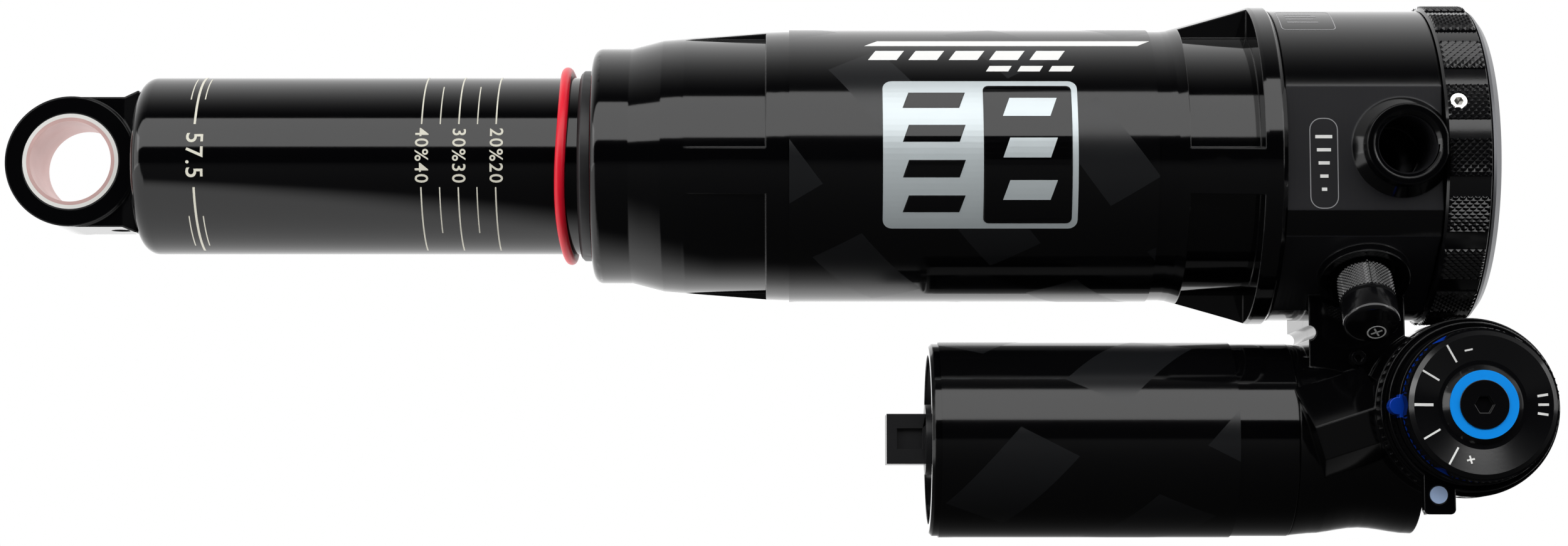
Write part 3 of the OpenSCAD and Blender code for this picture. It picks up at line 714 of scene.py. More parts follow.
BODY_OF = {node: body for body, nodes in frame["record"]["behaviour"]["bodies"].items()
           for node in nodes}
BLACK = (0.0014, 0.0014, 0.0017)
ANODISED = Finish("black_anodised", BLACK, roughness=0.07, grain=Grain.TURNED, depth=4e-8,
                  ior=1.5, worn=0.00028)
FORGING = MilledForging("black_forging", BLACK, roughness=0.1, grain=Grain.CAST, depth=4e-7,
                        ior=1.5, pad_axis=tuple(VALVE["axis"]), worn=0.0004)
# The threads get a lighter, metallic black than the head's own black so that they look lit inside the
# bores: painted light.
THREAD_PAINTED_LIGHT = Finish("cut_thread_painted_light", (0.05, 0.05, 0.055), 0.8, 0.3, grain=Grain.TURNED, depth=1e-6)
CAN_FILM = BandedFilm("can_film", (0.0019, 0.0019, 0.0022), roughness=0.09, ior=1.5,
                      phase=0.6)
TANK_FILM = BandedFilm("tank_film", (0.0019, 0.0019, 0.0022), roughness=0.1, ior=1.5,
                       radius=0.0153, axis_z=RESERVOIR_Z, pitch=0.031, slant=-0.9, phase=2.0)
KNURLED = Finish("black_knurled", (0.003, 0.003, 0.0035), roughness=0.14, grain=Grain.CAST,
                 depth=2e-6, ior=1.55)
DU_STEEL = Finish("bushing_steel", (0.8, 0.79, 0.76), 0.25, 0.3, grain=Grain.TURNED)
DU_LINER = Finish("bronze_liner", (0.58, 0.38, 0.36), 0.45, 0.42, 0.25, Grain.CAST, 4e-6,
                  tone=0.25)
BRIGHT_STEEL = Finish("bright_steel", (0.78, 0.77, 0.74), 1.0, 0.16, grain=Grain.POLISHED)
BARE_ALLOY = Finish("bare_alloy", (0.82, 0.83, 0.84), 1.0, 0.24, grain=Grain.TURNED, depth=3e-6)
CHROME = Finish("hard_chrome", (0.86, 0.86, 0.88), 1.0, 0.06, grain=Grain.POLISHED, depth=1e-6)
GOLD = Finish("gold_anodised", (0.62, 0.40, 0.11), 1.0, 0.3, grain=Grain.TURNED)
SHIM = Finish("spring_steel", (0.55, 0.58, 0.64), 1.0, 0.18, grain=Grain.TURNED)
BRASS = Finish("turned_brass", (0.78, 0.57, 0.24), 1.0, 0.22, grain=Grain.TURNED)
GUIDE = Finish("guide_bronze", (0.36, 0.2, 0.1), 0.3, 0.5, 0.2, Grain.CAST, 4e-6, tone=0.2)
SAG_RED = Finish("red_rubber", (0.78, 0.006, 0.026), 0.0, 0.36, 0.2, Grain.MOULDED, 3e-6, 1.45)
SEAL = Finish("seal_rubber", (0.011, 0.011, 0.012), 0.0, 0.42, 0.2, Grain.MOULDED, 4e-6, 1.48)
PTFE = Finish("white_ptfe", (0.8, 0.8, 0.77), 0.0, 0.4, 0.1, Grain.TURNED, 2e-6, 1.38)
SPACER = Finish("green_plastic", (0.02, 0.2, 0.05), 0.0, 0.4, 0.15, Grain.MOULDED, 4e-6)
PLASTIC = Finish("black_plastic", (0.012, 0.012, 0.013), 0.0, 0.3, 0.2, Grain.MOULDED, 5e-6,
                 1.49)
END_GREY = Finish("grey_bevel", (0.13, 0.132, 0.14), 0.75, 0.36, 0.15, Grain.TURNED, 2e-6)
BLUE_ANODISED = TwoToneRing("blue_anodised", (0.004, 0.07, 0.62), 0.35, 0.2, 0.15, Grain.TURNED,
                            2e-6, axis=(DIAL_CENTRE.x, DIAL_CENTRE.z))
SKY_BLUE = Finish("sky_blue_anodised", (0.0, 0.31, 1.0), 0.0, 0.3, 0.1, Grain.TURNED, 2e-6,
                  tone=0.05)
PALE_BLUE = Finish("pale_blue_dot", (0.5, 0.66, 1.0), 0.0, 0.25, tone=0.05)
WHITE_INK = Finish("white_ink", (0.86, 0.86, 0.84), 0.0, 0.45, 0.1, Grain.CAST, 1e-6, tone=0.03)
CREAM_INK = Finish("cream_ink", (0.68, 0.66, 0.56), 0.0, 0.5, 0.1, Grain.CAST, 1e-6, tone=0.06)
SILVER_INK = Finish("silver_ink", (0.62, 0.68, 0.7), 0.35, 0.34, 0.1, Grain.CAST, 1e-6, tone=0.04)
GREY_LINE = Finish("engraved_line", (0.3, 0.3, 0.31), 0.0, 0.4, 0.1, Grain.CAST, 1e-6)

NODE_FINISH = {
    "lower_eyelet": FORGING, "bushing_shell": DU_STEEL, "bushing_liner": DU_LINER,
    "bleed_screw": BRIGHT_STEEL, "damper_tube": ANODISED, "sag_ring": SAG_RED,
    "dust_wiper": SEAL, "air_can": ANODISED, "air_can_decal": CAN_FILM,
    "neck_air_seal": SEAL, "backup_ring": PTFE, "neck_bushing": GUIDE,
    "top_out_bumper": SEAL, "air_piston": BARE_ALLOY, "air_piston_seal": SEAL,
    "air_piston_band": GUIDE, "shaft_bushing": GUIDE, "shaft_oil_seal": SEAL,
    "damper_shaft": CHROME, "main_piston": GOLD, "main_piston_band": GUIDE,
    "compression_shims": SHIM, "rebound_shims": SHIM, "piston_nut": BRIGHT_STEEL,
    "rebound_rod": BARE_ALLOY, "bottom_out_bumper": SEAL, "volume_spacer": SPACER,
    "can_oring": SEAL, "trunnion_head": FORGING, "gallery_plug": KNURLED,
    "rebound_ring": KNURLED, "ring_set_screw": BRIGHT_STEEL, "ring_end_plate": END_GREY,
    "detent_balls": BRIGHT_STEEL, "detent_springs": BRIGHT_STEEL, "valve_stem": BRASS,
    "valve_core": BARE_ALLOY, "valve_pin": BRASS, "valve_cap": PLASTIC,
    "reservoir_tube": ANODISED, "reservoir_decal": TANK_FILM, "reservoir_orings": SEAL,
    "reservoir_end_cap": BARE_ALLOY, "charge_valve": BRASS, "charge_port_cap": PLASTIC,
    "floating_piston": BARE_ALLOY, "floating_piston_seal": SEAL, "adjuster_housing": ANODISED,
    "threshold_lever": ANODISED, "lever_dot": PALE_BLUE, "hsc_ring": BLUE_ANODISED,
    "hsc_preload_cup": BARE_ALLOY, "hsc_spring": BRIGHT_STEEL, "lsc_dial": KNURLED,
    "dial_ring": SKY_BLUE, "dial_screw": KNURLED, "lsc_needle": BARE_ALLOY,
    "base_valve_body": GOLD, "base_valve_shims": SHIM,
}


BROKEN_EDGES = {
    "adjuster_housing": 0.00008, "threshold_lever": 0.0002, "charge_port_cap": 0.00015,
    "reservoir_end_cap": 0.0001, "gallery_plug": 0.0001, "hsc_ring": 0.0001,
    "dial_screw": 0.00008, "dust_wiper": 0.0001,
}


def finish_piece(piece: bpy.types.Object, finish: Finish, body: str,
                 replaces: Sequence[str] = ()) -> bpy.types.Object:
    """Paints a new piece and fixes it to its body.

    Args:
        piece: The finished mesh piece.
        finish: Its surface.
        body: The body it moves with.
        replaces: Frame nodes that it stands for.

    Returns:
        The same piece.
    """
    piece.data.materials.clear()
    piece.data.materials.append(finish.build())
    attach(piece, body)
    if replaces:
        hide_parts(*replaces)
    log.info("%s: %d faces on %s", piece.name, len(piece.data.polygons), body)
    return piece


def paint_frame() -> None:
    """Gives every frame node its finish."""
    for name, finish in NODE_FINISH.items():
        node = frame["nodes"][name]
        node.data.materials.clear()
        node.data.materials.append(finish.build())


# ------------------------------------------------------------------------ sub-assemblies


@dataclass
class BrokenEdges:
    """A frame node remade with its sharp edges broken, as a tumbled or filed part has.

    Fields give the node's name, the width of its broken edges in metres, their
    segments, and the angle past which an edge is sharp.
    """

    node: str
    width: float
    segments: int = 2
    degrees: float = 28

    def build(self) -> bpy.types.Object:
        """The bevelled copy, standing for its node."""
        piece = smooth(frame_copy(f"{self.node}_finished", self.node), self.degrees)
        bevel(piece, self.width, self.segments, self.degrees)
        return finish_piece(piece, NODE_FINISH[self.node], BODY_OF[self.node],
                            [self.node])


@dataclass
class TravelScale:
    """The printed travel scale on the damper tube.

    Fields give the tube's radius, the ink's thickness, the line width, the arcs that
    the lines cover, the stroke that the scale divides, how far its zero lies from the
    wiper, the heights of the digits, and the gap of the side lines at full travel.
    """

    radius: float = 0.014
    ink: float = 2.5e-5
    line: float = 0.00022
    inner: float = 0.0050
    outer: float = 0.0190
    stroke: float = 0.0575
    offset: float = 0.0010
    tall: float = 0.0027
    small: float = 0.0021
    spacing: float = 1.16
    side_gap: float = 0.0011

    def arcs(self, name: str, x: float, width: float, share: float = 1.0, skip: float = 0.0
             ) -> list[bpy.types.Object]:
        """Two lines around the tube at one station.

        Args:
            name: Name of the lines.
            x: Station along the shock.
            width: Width of the line, against the usual.
            share: Share of the full arc that is drawn.
            skip: Share of the full arc left bare at its inner end.

        Returns:
            The upper and the lower line, flat.
        """
        reach = self.outer - self.inner
        start = self.inner + reach * skip
        end = start + reach * share
        half = self.line * width / 2
        return [strip(name, (x - half, low), (x + half, high), self.ink, 20)
                for low, high in ((start, end), (-end, -start))]

    def numbers(self, words: str, x: float, height: float) -> bpy.types.Object:
        """Digits that read down the tube's front."""
        text = lettering("scale_numbers", words, height, self.ink, self.spacing)
        turn = Matrix.Rotation(math.radians(-90), 4, "Z")
        return put(text, Matrix.Translation((x, 0, self.ink / 2)) @ turn)

    def build(self) -> bpy.types.Object:
        """The whole scale as one piece of ink on the tube."""
        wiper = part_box("dust_wiper")[0].x
        zero, full = wiper - self.offset, wiper - self.stroke - 1.5 * self.offset
        parts: list[bpy.types.Object] = []
        parts += self.arcs("full_travel", full, 1.6)
        for side in (-1, 1):
            parts += self.arcs("full_side", full + side * self.side_gap, 0.8, 0.5, 0.35)
        parts.append(self.numbers("57.5", full, self.tall))
        for step in (2, 3, 4):
            x = zero - self.stroke * step / 10
            parts += self.arcs("scale_line", x, 1.0)
            parts.append(self.numbers(f"{step}0%{step}0", x, self.small))
        for step in (2.5, 3.5):
            parts += self.arcs("half_line", zero - self.stroke * step / 10, 0.8, 0.6)
        scale = join("travel_scale", parts)
        wrap(scale, self.radius)
        return finish_piece(scale, CREAM_INK, "damper")


@dataclass
class SagMarker:
    """The rubber ring that shows how far the shock has moved.

    Fields give how far its front leans away from the wiper and how far it waves.
    """

    lean: float = 0.0011
    wave: float = 0.00022

    def build(self) -> bpy.types.Object:
        """The ring, a little out of square on the tube as it is left by hand."""
        low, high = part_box("sag_ring")
        section = (high.x - low.x) / 2
        middle = (high.z - low.z) / 2 - section
        deselect()
        bpy.ops.mesh.primitive_torus_add(major_radius=middle, minor_radius=section,
                                         major_segments=120, minor_segments=20)
        ring = put(take("rubber_sag_ring"), along_shock((low.x + high.x) / 2))
        for vertex in ring.data.vertices:
            angle = math.atan2(vertex.co.z, -vertex.co.y)
            vertex.co.x -= self.lean * (0.5 + 0.5 * math.cos(angle))
            vertex.co.x += self.wave * math.sin(3 * angle)
        smooth(ring, 60)
        return finish_piece(ring, SAG_RED, "sag_marker", ["sag_ring"])


@dataclass
class CanGraphics:
    """Generic printed graphics on the air can's film.

    A place on the film is a station along the shock and an arc length around the can.
    Fields give the ink's thickness, the badge's corners, corner radius and rim, the
    lean of its bars, and the stripe and the rows of dashes above it. A row has its
    count, first station, pitch, length, low and high arc.
    """

    ink: float = 3e-5
    badge_low: Point = (0.1266, -0.0125)
    badge_high: Point = (0.1562, 0.0112)
    corner: float = 0.0014
    rim: float = 0.0009
    lean: float = 0.35
    stripe: tuple[Point, Point] = ((0.1240, 0.0197), (0.1662, 0.0214))
    stripe_lean: float = 1.2
    dash_lean: float = 0.5
    rows: Sequence[tuple[int, float, float, float, float, float]] = (
        (5, 0.1245, 0.0062, 0.0044, 0.0158, 0.0182),
        (3, 0.1425, 0.0048, 0.0034, 0.0132, 0.0144),
    )

    def __post_init__(self) -> None:
        """Takes the film's radius from the frame."""
        low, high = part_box("air_can_decal")
        self.radius = (high.z - low.z) / 2

    def rounded(self, name: str, low: Point, high: Point, corner: float) -> bpy.types.Object:
        """A thin rounded rectangle, cut finely enough to be wrapped."""
        panel = strip(name, low, high, self.ink, 1)
        with editing(panel, "DESELECT"):
            bpy.ops.mesh.select_mode(type="EDGE")
            mesh = bmesh.from_edit_mesh(panel.data)
            for edge in mesh.edges:
                way = edge.verts[0].co - edge.verts[1].co
                edge.select_set(abs(way.z) > 0.5 * self.ink)
            bmesh.update_edit_mesh(panel.data)
            bpy.ops.mesh.bevel(offset=corner, segments=5, affect="EDGES")
        return panel

    def slice_for_wrap(self, piece: bpy.types.Object, pitch: float = 0.0009) -> None:
        """Cuts a flat piece across its arc so that it can follow the can."""
        ys = [v.co.y for v in piece.data.vertices]
        with editing(piece):
            count = int((max(ys) - min(ys)) / pitch)
            for k in range(1, count + 1):
                bpy.ops.mesh.select_all(action="SELECT")
                bpy.ops.mesh.bisect(plane_co=(0, min(ys) + pitch * k, 0), plane_no=(0, 1, 0))

    def slanted(self, name: str, low: Point, high: Point, lean: float) -> bpy.types.Object:
        """A bar whose left and right ends lean."""
        bar = strip(name, low, high, self.ink, 1)
        for vertex in bar.data.vertices:
            vertex.co.x += lean * (vertex.co.y - low[1])
        return bar

    def bars(self, count: int, left: float, right: float, first: float, pitch: float,
             tall: float) -> list[bpy.types.Object]:
        """Leaning bars in one column of the badge.

        Args:
            count: How many bars.
            left: Station of their left end.
            right: Station of their right end.
            first: Arc of the first bar's lower edge.
            pitch: Arc from one bar to the next.
            tall: Height of a bar.

        Returns:
            The bars, flat.
        """
        return [self.slanted("badge_bar", (left, first + pitch * k),
                             (right, first + pitch * k + tall), self.lean)
                for k in range(count)]

    def build(self) -> list[bpy.types.Object]:
        """Badge, its dark panel and bars, and the stripes above the badge."""
        low, high = self.badge_low, self.badge_high
        rim = self.rim
        middle = (low[0] + high[0]) / 2
        width = (high[1] - low[1]) / 9
        badge = self.rounded("badge", low, high, self.corner)
        dark = [self.rounded("badge_panel", (middle + rim / 2, low[1] + rim),
                             (high[0] - rim, high[1] - rim), self.corner * 0.6)]
        dark += self.bars(4, low[0] + 0.003, middle - 0.0032,
                          low[1] + rim * 2 + width * 0.35, width * 2.05, width)
        light = self.bars(3, middle + 0.0034, high[0] - 0.0042,
                          low[1] + rim * 3 + width * 0.75, width * 2.45, width * 1.15)
        stripes = [self.slanted("stripe", *self.stripe, self.stripe_lean)]
        for count, first, pitch, length, under, over in self.rows:
            for k in range(count):
                x = first + pitch * k
                stripes.append(self.slanted("dash", (x, under), (x + length, over),
                                            self.dash_lean))
        made = []
        layers = (("can_badge", [badge], 0.0, SILVER_INK),
                  ("can_badge_dark", dark, self.ink, ANODISED),
                  ("can_badge_light", light, 2 * self.ink, SILVER_INK),
                  ("can_stripes", stripes, 0.0, WHITE_INK))
        for name, parts, lift, finish in layers:
            piece = join(name, parts)
            clean(piece)
            self.slice_for_wrap(piece)
            put(piece, Matrix.Translation((0, 0, lift)))
            wrap(piece, self.radius)
            made.append(finish_piece(clean(piece), finish, "head"))
        return made


@dataclass
class KnurledRing:
    """The hand-turned rebound ring, with diamond knurled pads between smooth lands.

    Fields give the number of pads, the share of the pitch that a pad covers, the
    knurl's cell and height, the depth of the land below the pads, the angle of the
    first land, the width of the broken edges and the thickness of the wall.
    """

    pads: int = 18
    pad_share: float = 0.66
    cell: float = 0.00078
    peak: float = 0.00032
    land_depth: float = 0.00045
    land_angle: float = 5.9
    edge: float = 0.00035
    wall: float = 0.0035

    def __post_init__(self) -> None:
        """Takes the ring's size from the frame."""
        low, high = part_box("rebound_ring")
        self.start, self.end = low.x, high.x
        self.radius = (high.z - low.z) / 2

    def pad(self) -> bpy.types.Object:
        """One flat knurled pad, cut square from a grid turned by 45 degrees."""
        wide = FULL_TURN * self.radius / self.pads * self.pad_share
        long = self.end - self.start - 2 * self.edge
        count = int(1.6 * long / self.cell)
        deselect()
        bpy.ops.mesh.primitive_grid_add(x_subdivisions=count, y_subdivisions=count,
                                        size=count * self.cell,
                                        rotation=(0, 0, math.radians(45)))
        pad = put(take("knurl_pad"), Matrix.Identity(4))
        sides = (((long / 2, 0, 0), (1, 0, 0)), ((-long / 2, 0, 0), (-1, 0, 0)),
                 ((0, wide / 2, 0), (0, 1, 0)), ((0, -wide / 2, 0), (0, -1, 0)))
        with editing(pad):
            for place, way in sides:
                bpy.ops.mesh.select_all(action="SELECT")
                bpy.ops.mesh.bisect(plane_co=place, plane_no=way, clear_outer=True)
        with editing(pad):
            bpy.ops.mesh.select_mode(type="EDGE")
            bpy.ops.mesh.select_all(action="DESELECT")
            bpy.ops.mesh.select_non_manifold()
            bpy.ops.mesh.extrude_region_move(
                TRANSFORM_OT_translate={"value": (0, 0, -self.land_depth)})
            bpy.ops.mesh.edge_face_add()
            select_faces(pad, lambda centre, normal: abs(centre.z) < 1e-7)
            bpy.ops.mesh.poke(offset=self.peak)
        clean(pad)
        lift = Matrix.Translation(((self.start + self.end) / 2, 0, -self.peak))
        put(pad, lift)
        return wrap(pad, self.radius)

    def build(self) -> bpy.types.Object:
        """The ring body and its pads, as one piece."""
        ground = self.radius - self.land_depth
        inner = ground - self.wall
        profile = [(inner, 0), (ground - self.edge, 0), (ground, self.edge),
                   (ground, self.end - self.start - self.edge),
                   (ground - self.edge, self.end - self.start), (inner, self.end - self.start),
                   (inner, 0)]
        body = put(lathe("ring_body", profile, 180), along_shock(self.start))
        smooth(body, 25)
        first = self.pad()
        pitch = 360 / self.pads
        parts = [body]
        for k in range(self.pads):
            angle = -(self.land_angle + pitch * (k + 0.5))
            parts.append(copy_of(first, Matrix.Rotation(math.radians(angle), 4, "X")))
        bpy.data.objects.remove(first)
        ring = join("knurled_ring", parts)
        self.screw_seat(ring)
        return finish_piece(ring, KNURLED, "rebound_knob", ["rebound_ring"])

    def screw_seat(self, ring: bpy.types.Object) -> None:
        """Drills the seat of the set screw through its pad."""
        screw = centre_of("ring_set_screw")
        low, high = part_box("ring_set_screw")
        radius = (high.x - low.x) / 2
        angle = math.atan2(screw.z, -screw.y)
        deselect()
        bpy.ops.mesh.primitive_cylinder_add(vertices=40, radius=radius + 2e-5, depth=0.004)
        drill = take("seat_drill")
        out = Vector((0, -math.cos(angle), math.sin(angle)))
        turn = Vector((0, 0, 1)).rotation_difference(out).to_matrix().to_4x4()
        put(drill, Matrix.Translation(Vector((screw.x, 0, 0)) + out * self.radius) @ turn)
        cut = ring.modifiers.new("seat", "BOOLEAN")
        cut.object = drill
        cut.operation = "DIFFERENCE"
        cut.solver = "EXACT"
        cut.use_self = True
        apply_all(ring)
        bpy.data.objects.remove(drill)


@dataclass
class ValveCap:
    """The air valve's cap: a knurled skirt, a smooth crown and a marked end.

    Fields give the teeth of the knurl around the skirt, its height, the share of the
    length that it covers, and the plain edge above and below it.
    """

    teeth: int = 44
    peak: float = 0.00017
    skirt_share: float = 0.6
    edge: float = 0.0002

    def build(self) -> list[bpy.types.Object]:
        """The cap, with a plus sign in a ring on its end."""
        start, end = reach_of("valve_cap", VALVE["axis"])
        low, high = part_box("valve_cap")
        radius = (high.x - low.x) / 2
        length = end - start
        skirt = length * self.skirt_share
        ground = radius - self.peak
        profile = [(radius - 0.0007, 0), (ground - 0.0002, 0), (ground, 0.0002), (ground, skirt),
                   (ground - 0.0003, skirt + 0.0003), (radius, skirt + 0.0007),
                   (radius, length - 0.0008), (radius - 0.0001, length - 0.0004),
                   (radius - 0.0004, length - 0.0001), (radius - 0.0008, length), (0, length)]
        core = smooth(lathe("cap_core", profile, 72), 40)
        knurl = self.knurl(ground, skirt)
        cap = join("knurled_valve_cap", [core, knurl])
        put(cap, on_valve(start))
        finish_piece(cap, KNURLED, "valve_cover", ["valve_cap"])
        mark = self.mark(end)
        return [cap, mark]

    def knurl(self, ground: float, skirt: float) -> bpy.types.Object:
        """Diamond knurling around the skirt.

        Args:
            ground: Radius that the diamonds stand on.
            skirt: Height of the skirt.

        Returns:
            A band of pointed diamonds, about local Z.
        """
        side = FULL_TURN * ground / self.teeth / math.sqrt(2)
        count = 2 * self.teeth
        deselect()
        bpy.ops.mesh.primitive_grid_add(x_subdivisions=count, y_subdivisions=count,
                                        size=count * side, rotation=(0, 0, math.radians(45)))
        band = put(take("cap_knurl"), Matrix.Identity(4))
        half_turn = math.pi * ground
        height = skirt - 2 * self.edge
        sides = (((height / 2, 0, 0), (1, 0, 0)), ((-height / 2, 0, 0), (-1, 0, 0)),
                 ((0, half_turn, 0), (0, 1, 0)), ((0, -half_turn, 0), (0, -1, 0)))
        with editing(band):
            for place, way in sides:
                bpy.ops.mesh.select_all(action="SELECT")
                bpy.ops.mesh.bisect(plane_co=place, plane_no=way, clear_outer=True)
            bpy.ops.mesh.select_all(action="SELECT")
            bpy.ops.mesh.poke(offset=self.peak)
        wrap(band, ground)
        clean(band)
        turn = Matrix.Rotation(math.radians(-90), 4, "Y")
        return put(band, Matrix.Translation((0, 0, self.edge + height / 2)) @ turn)

    def mark(self, end: float) -> bpy.types.Object:
        """A plus in a ring, printed off centre on the cap's end."""
        deselect()
        bpy.ops.mesh.primitive_torus_add(major_radius=0.00135, minor_radius=0.00012,
                                         major_segments=48, minor_segments=6)
        ring = take("cap_ring")
        ring.scale.z = 0.25
        put(ring, Matrix.Identity(4))
        bars = []
        for angle in (0, 90):
            bar = strip("cap_plus", (-0.0009, -0.00013), (0.0009, 0.00013), 3e-5, 1)
            bars.append(put(bar, Matrix.Rotation(math.radians(angle), 4, "Z")))
        mark = join("valve_cap_mark", [ring, *bars])
        put(mark, on_valve(end + 1e-5) @ Matrix.Translation((0.0009, -0.0016, 0))
            @ Matrix.Rotation(math.radians(28), 4, "Z"))
        return finish_piece(mark, WHITE_INK, "valve_cover")


@dataclass
class TrunnionThreads:
    """The cut threads seen inside both trunnion bores.

    Fields give the thread's pitch, height and depth into the bore, how far its roots
    sink into the wall, and how far it starts below the boss's face.
    """

    pitch: float = 0.001
    height: float = 0.0003
    depth: float = 0.0125
    sink: float = 5e-5
    start: float = 0.0007

    def build(self) -> list[bpy.types.Object]:
        """One helical thread in each bore."""
        made = []
        for side, name in ((-1, "trunnion_left"), (1, "trunnion_right")):
            hole = mount(name)
            radius = hole["dims"]["r_mm"] * MM
            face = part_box("trunnion_head")[0 if side < 0 else 1].y
            deselect()
            bpy.ops.mesh.primitive_plane_add(size=SEED_SIZE)
            thread = put(take(f"thread_{name}"), Matrix.Identity(4))
            with editing(thread):
                bpy.ops.mesh.merge(type="CENTER")
                root = (radius + self.sink, 0, -self.pitch * 0.46)
                bpy.ops.transform.translate(value=root)
                for step in ((-self.height, 0, self.pitch * 0.4), (0, 0, self.pitch * 0.12),
                             (self.height, 0, self.pitch * 0.4)):
                    bpy.ops.mesh.extrude_region_move(TRANSFORM_OT_translate={"value": step})
            screw = thread.modifiers.new("helix", "SCREW")
            screw.angle = FULL_TURN
            screw.iterations = int(self.depth / self.pitch)
            screw.screw_offset = self.pitch
            screw.steps = screw.render_steps = 40
            screw.use_merge_vertices = True
            apply_all(thread)
            turn = Matrix.Rotation(math.radians(90 * side), 4, "X")
            place = Matrix.Translation((hole["pos_m"][0], face - side * self.start, 0))
            put(thread, place @ turn)
            clean(thread)
            smooth(thread, 50)
            # the threads' lighter black is painted light in the bores
            made.append(finish_piece(thread, THREAD_PAINTED_LIGHT, "head"))
        return made


@dataclass
class DialMarks:
    """Printed ticks and signs on the low-speed dial.

    Fields give the ticks' angles from the +X side, their reach and width, the ink, the
    dial face's slope with the radii between which it rises and the drop of its inner
    edge below the dial's front, the signs' angles, radius and tilt, and the dashes'
    radius and pitch.
    """

    angles: Sequence[float] = (121.0, 150.5, 180.0, 209.5, 239.0)
    inner: float = 0.0073
    outer: float = 0.0102
    width: float = 0.00028
    ink: float = 4e-5
    slope: float = 0.8 / 4.2
    slope_from: float = 0.00605
    slope_to: float = 0.01025
    drop: float = 0.00099
    minus_angle: float = 104.0
    plus_angle: float = 256.0
    sign_radius: float = 0.0083
    sign_tilt: float = 12.0
    dash_radius: float = 0.0088
    dash_pitch: float = 9.0

    def bar(self, name: str, start: float, end: float, width: float) -> bpy.types.Object:
        """A flat bar along X, centred on Y."""
        return strip(name, (start, -width / 2), (end, width / 2), self.ink, 1)

    def ticks(self) -> list[bpy.types.Object]:
        """The five ticks, the middle one bolder."""
        made = []
        for k, angle in enumerate(self.angles):
            bold = 1.5 if k == len(self.angles) // 2 else 1.0
            tick = self.bar("tick", self.inner, self.outer, self.width * bold)
            made.append(put(tick, Matrix.Rotation(math.radians(angle), 4, "Z")))
        return made

    def signs(self) -> list[bpy.types.Object]:
        """A minus and a plus at the ends of the ticks, upright on the dial."""
        made = []
        out = Matrix.Translation((self.sign_radius, 0, 0))
        for angle, arms in ((self.minus_angle, (0,)), (self.plus_angle, (0, 90))):
            for turn in arms:
                upright = Matrix.Rotation(math.radians(turn - angle + self.sign_tilt), 4, "Z")
                arm = self.bar("sign", -0.0006, 0.0006, 0.00026)
                made.append(put(arm, Matrix.Rotation(math.radians(angle), 4, "Z") @ out @ upright))
        return made

    def dashes(self) -> list[bpy.types.Object]:
        """Three dashes opposite the ticks, in place of the setting's name."""
        made = []
        for k in range(3):
            spin = Matrix.Rotation(math.radians(self.dash_pitch * (1 - k)), 4, "Z")
            dash = self.bar("legend", -0.00075, 0.00075, 0.00036)
            made.append(put(dash, spin @ Matrix.Translation((self.dash_radius, 0, 0))))
        return made

    def build(self) -> bpy.types.Object:
        """All the marks as one piece of ink that follows the dial's sloped face."""
        front = -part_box("lsc_dial")[0].y
        piece = join("dial_marks", self.ticks() + self.signs() + self.dashes())
        for vertex in piece.data.vertices:
            out = min(math.hypot(vertex.co.x, vertex.co.y), self.slope_to)
            vertex.co.z += self.slope * (out - self.slope_from)
        put(piece, on_dial(front - self.drop))
        return finish_piece(piece, WHITE_INK, "low_speed_knob")


@dataclass
class HeadLabels:
    """Outlined blank labels etched on the trunnion head.

    Fields give the etched line's width, the ink's thickness, the places of the head's
    side flat and of its outside radius, and the labels' places and sizes. A size is
    width, height and corner radius.
    """

    line: float = 0.00013
    ink: float = 1.5e-5
    flat: float = 0.0226
    radius: float = 0.0245
    gauge_place: Point = (0.1931, -0.0024)
    gauge_size: tuple[float, float, float] = (0.0043, 0.0138, 0.0018)
    upper_station: float = 0.1925
    upper_degrees: float = 62
    upper_size: tuple[float, float, float] = (0.0084, 0.0088, 0.0009)

    def outline(self, name: str, wide: float, tall: float, corner: float) -> bpy.types.Object:
        """A rounded outline lying in the XY plane."""
        deselect()
        bpy.ops.mesh.primitive_plane_add(size=1)
        frame_line = take(name)
        frame_line.scale = (wide, tall, 1)
        put(frame_line, Matrix.Identity(4))
        with editing(frame_line):
            bpy.ops.mesh.bevel(offset=corner, segments=6, affect="VERTICES")
            bpy.ops.mesh.select_all(action="SELECT")
            bpy.ops.mesh.inset(thickness=self.line)
            bpy.ops.mesh.delete(type="FACE")
            bpy.ops.mesh.select_all(action="SELECT")
            bpy.ops.mesh.extrude_region_move(
                TRANSFORM_OT_translate={"value": (0, 0, self.ink)})
        return clean(frame_line)

    def gauge(self) -> list[bpy.types.Object]:
        """The front label, a gauge sign of five bars that widen upwards."""
        outline = self.outline("pressure_label", *self.gauge_size)
        bars = []
        for k in range(5):
            half = 0.0004 + 0.00022 * k
            y = -0.0042 + 0.0020 * k
            bars.append(strip("gauge_bar", (-half, y), (half, y + 0.0005), self.ink, 1))
        x, z = self.gauge_place
        place = Matrix.Translation((x, -self.flat - self.ink, z))
        made = []
        for piece, finish in ((outline, GREY_LINE), (join("gauge_bars", bars), WHITE_INK)):
            put(piece, place @ Matrix.Rotation(math.radians(90), 4, "X"))
            made.append(finish_piece(piece, finish, "head"))
        return made

    def upper(self) -> bpy.types.Object:
        """The upper label, an outline with four blank lines, wrapped on the head."""
        outline = self.outline("upper_label", *self.upper_size)
        lines = []
        for k in range(4):
            y, end = 0.0022 - 0.0013 * k, 0.0012 + 0.0006 * (k % 2)
            lines.append(strip("label_line", (-0.0030, y), (end, y + 0.0003), self.ink, 1))
        label = join("upper_label", [outline, *lines])
        tall = self.upper_size[1]
        with editing(label):
            for k in range(1, 9):
                bpy.ops.mesh.select_all(action="SELECT")
                bpy.ops.mesh.bisect(plane_co=(0, tall * (k / 8 - 0.5), 0), plane_no=(0, 1, 0))
        arc = self.radius * math.radians(self.upper_degrees)
        put(label, Matrix.Translation((self.upper_station, arc, 2e-6)))
        return finish_piece(wrap(label, self.radius), GREY_LINE, "head")

    def build(self) -> list[bpy.types.Object]:
        """Both labels."""
        return [*self.gauge(), self.upper()]


class Side(Enum):
    """Which way a light panel faces the shock from."""

    FRONT_HIGH = "front_high"
    LEFT = "left"
    RIGHT = "right"


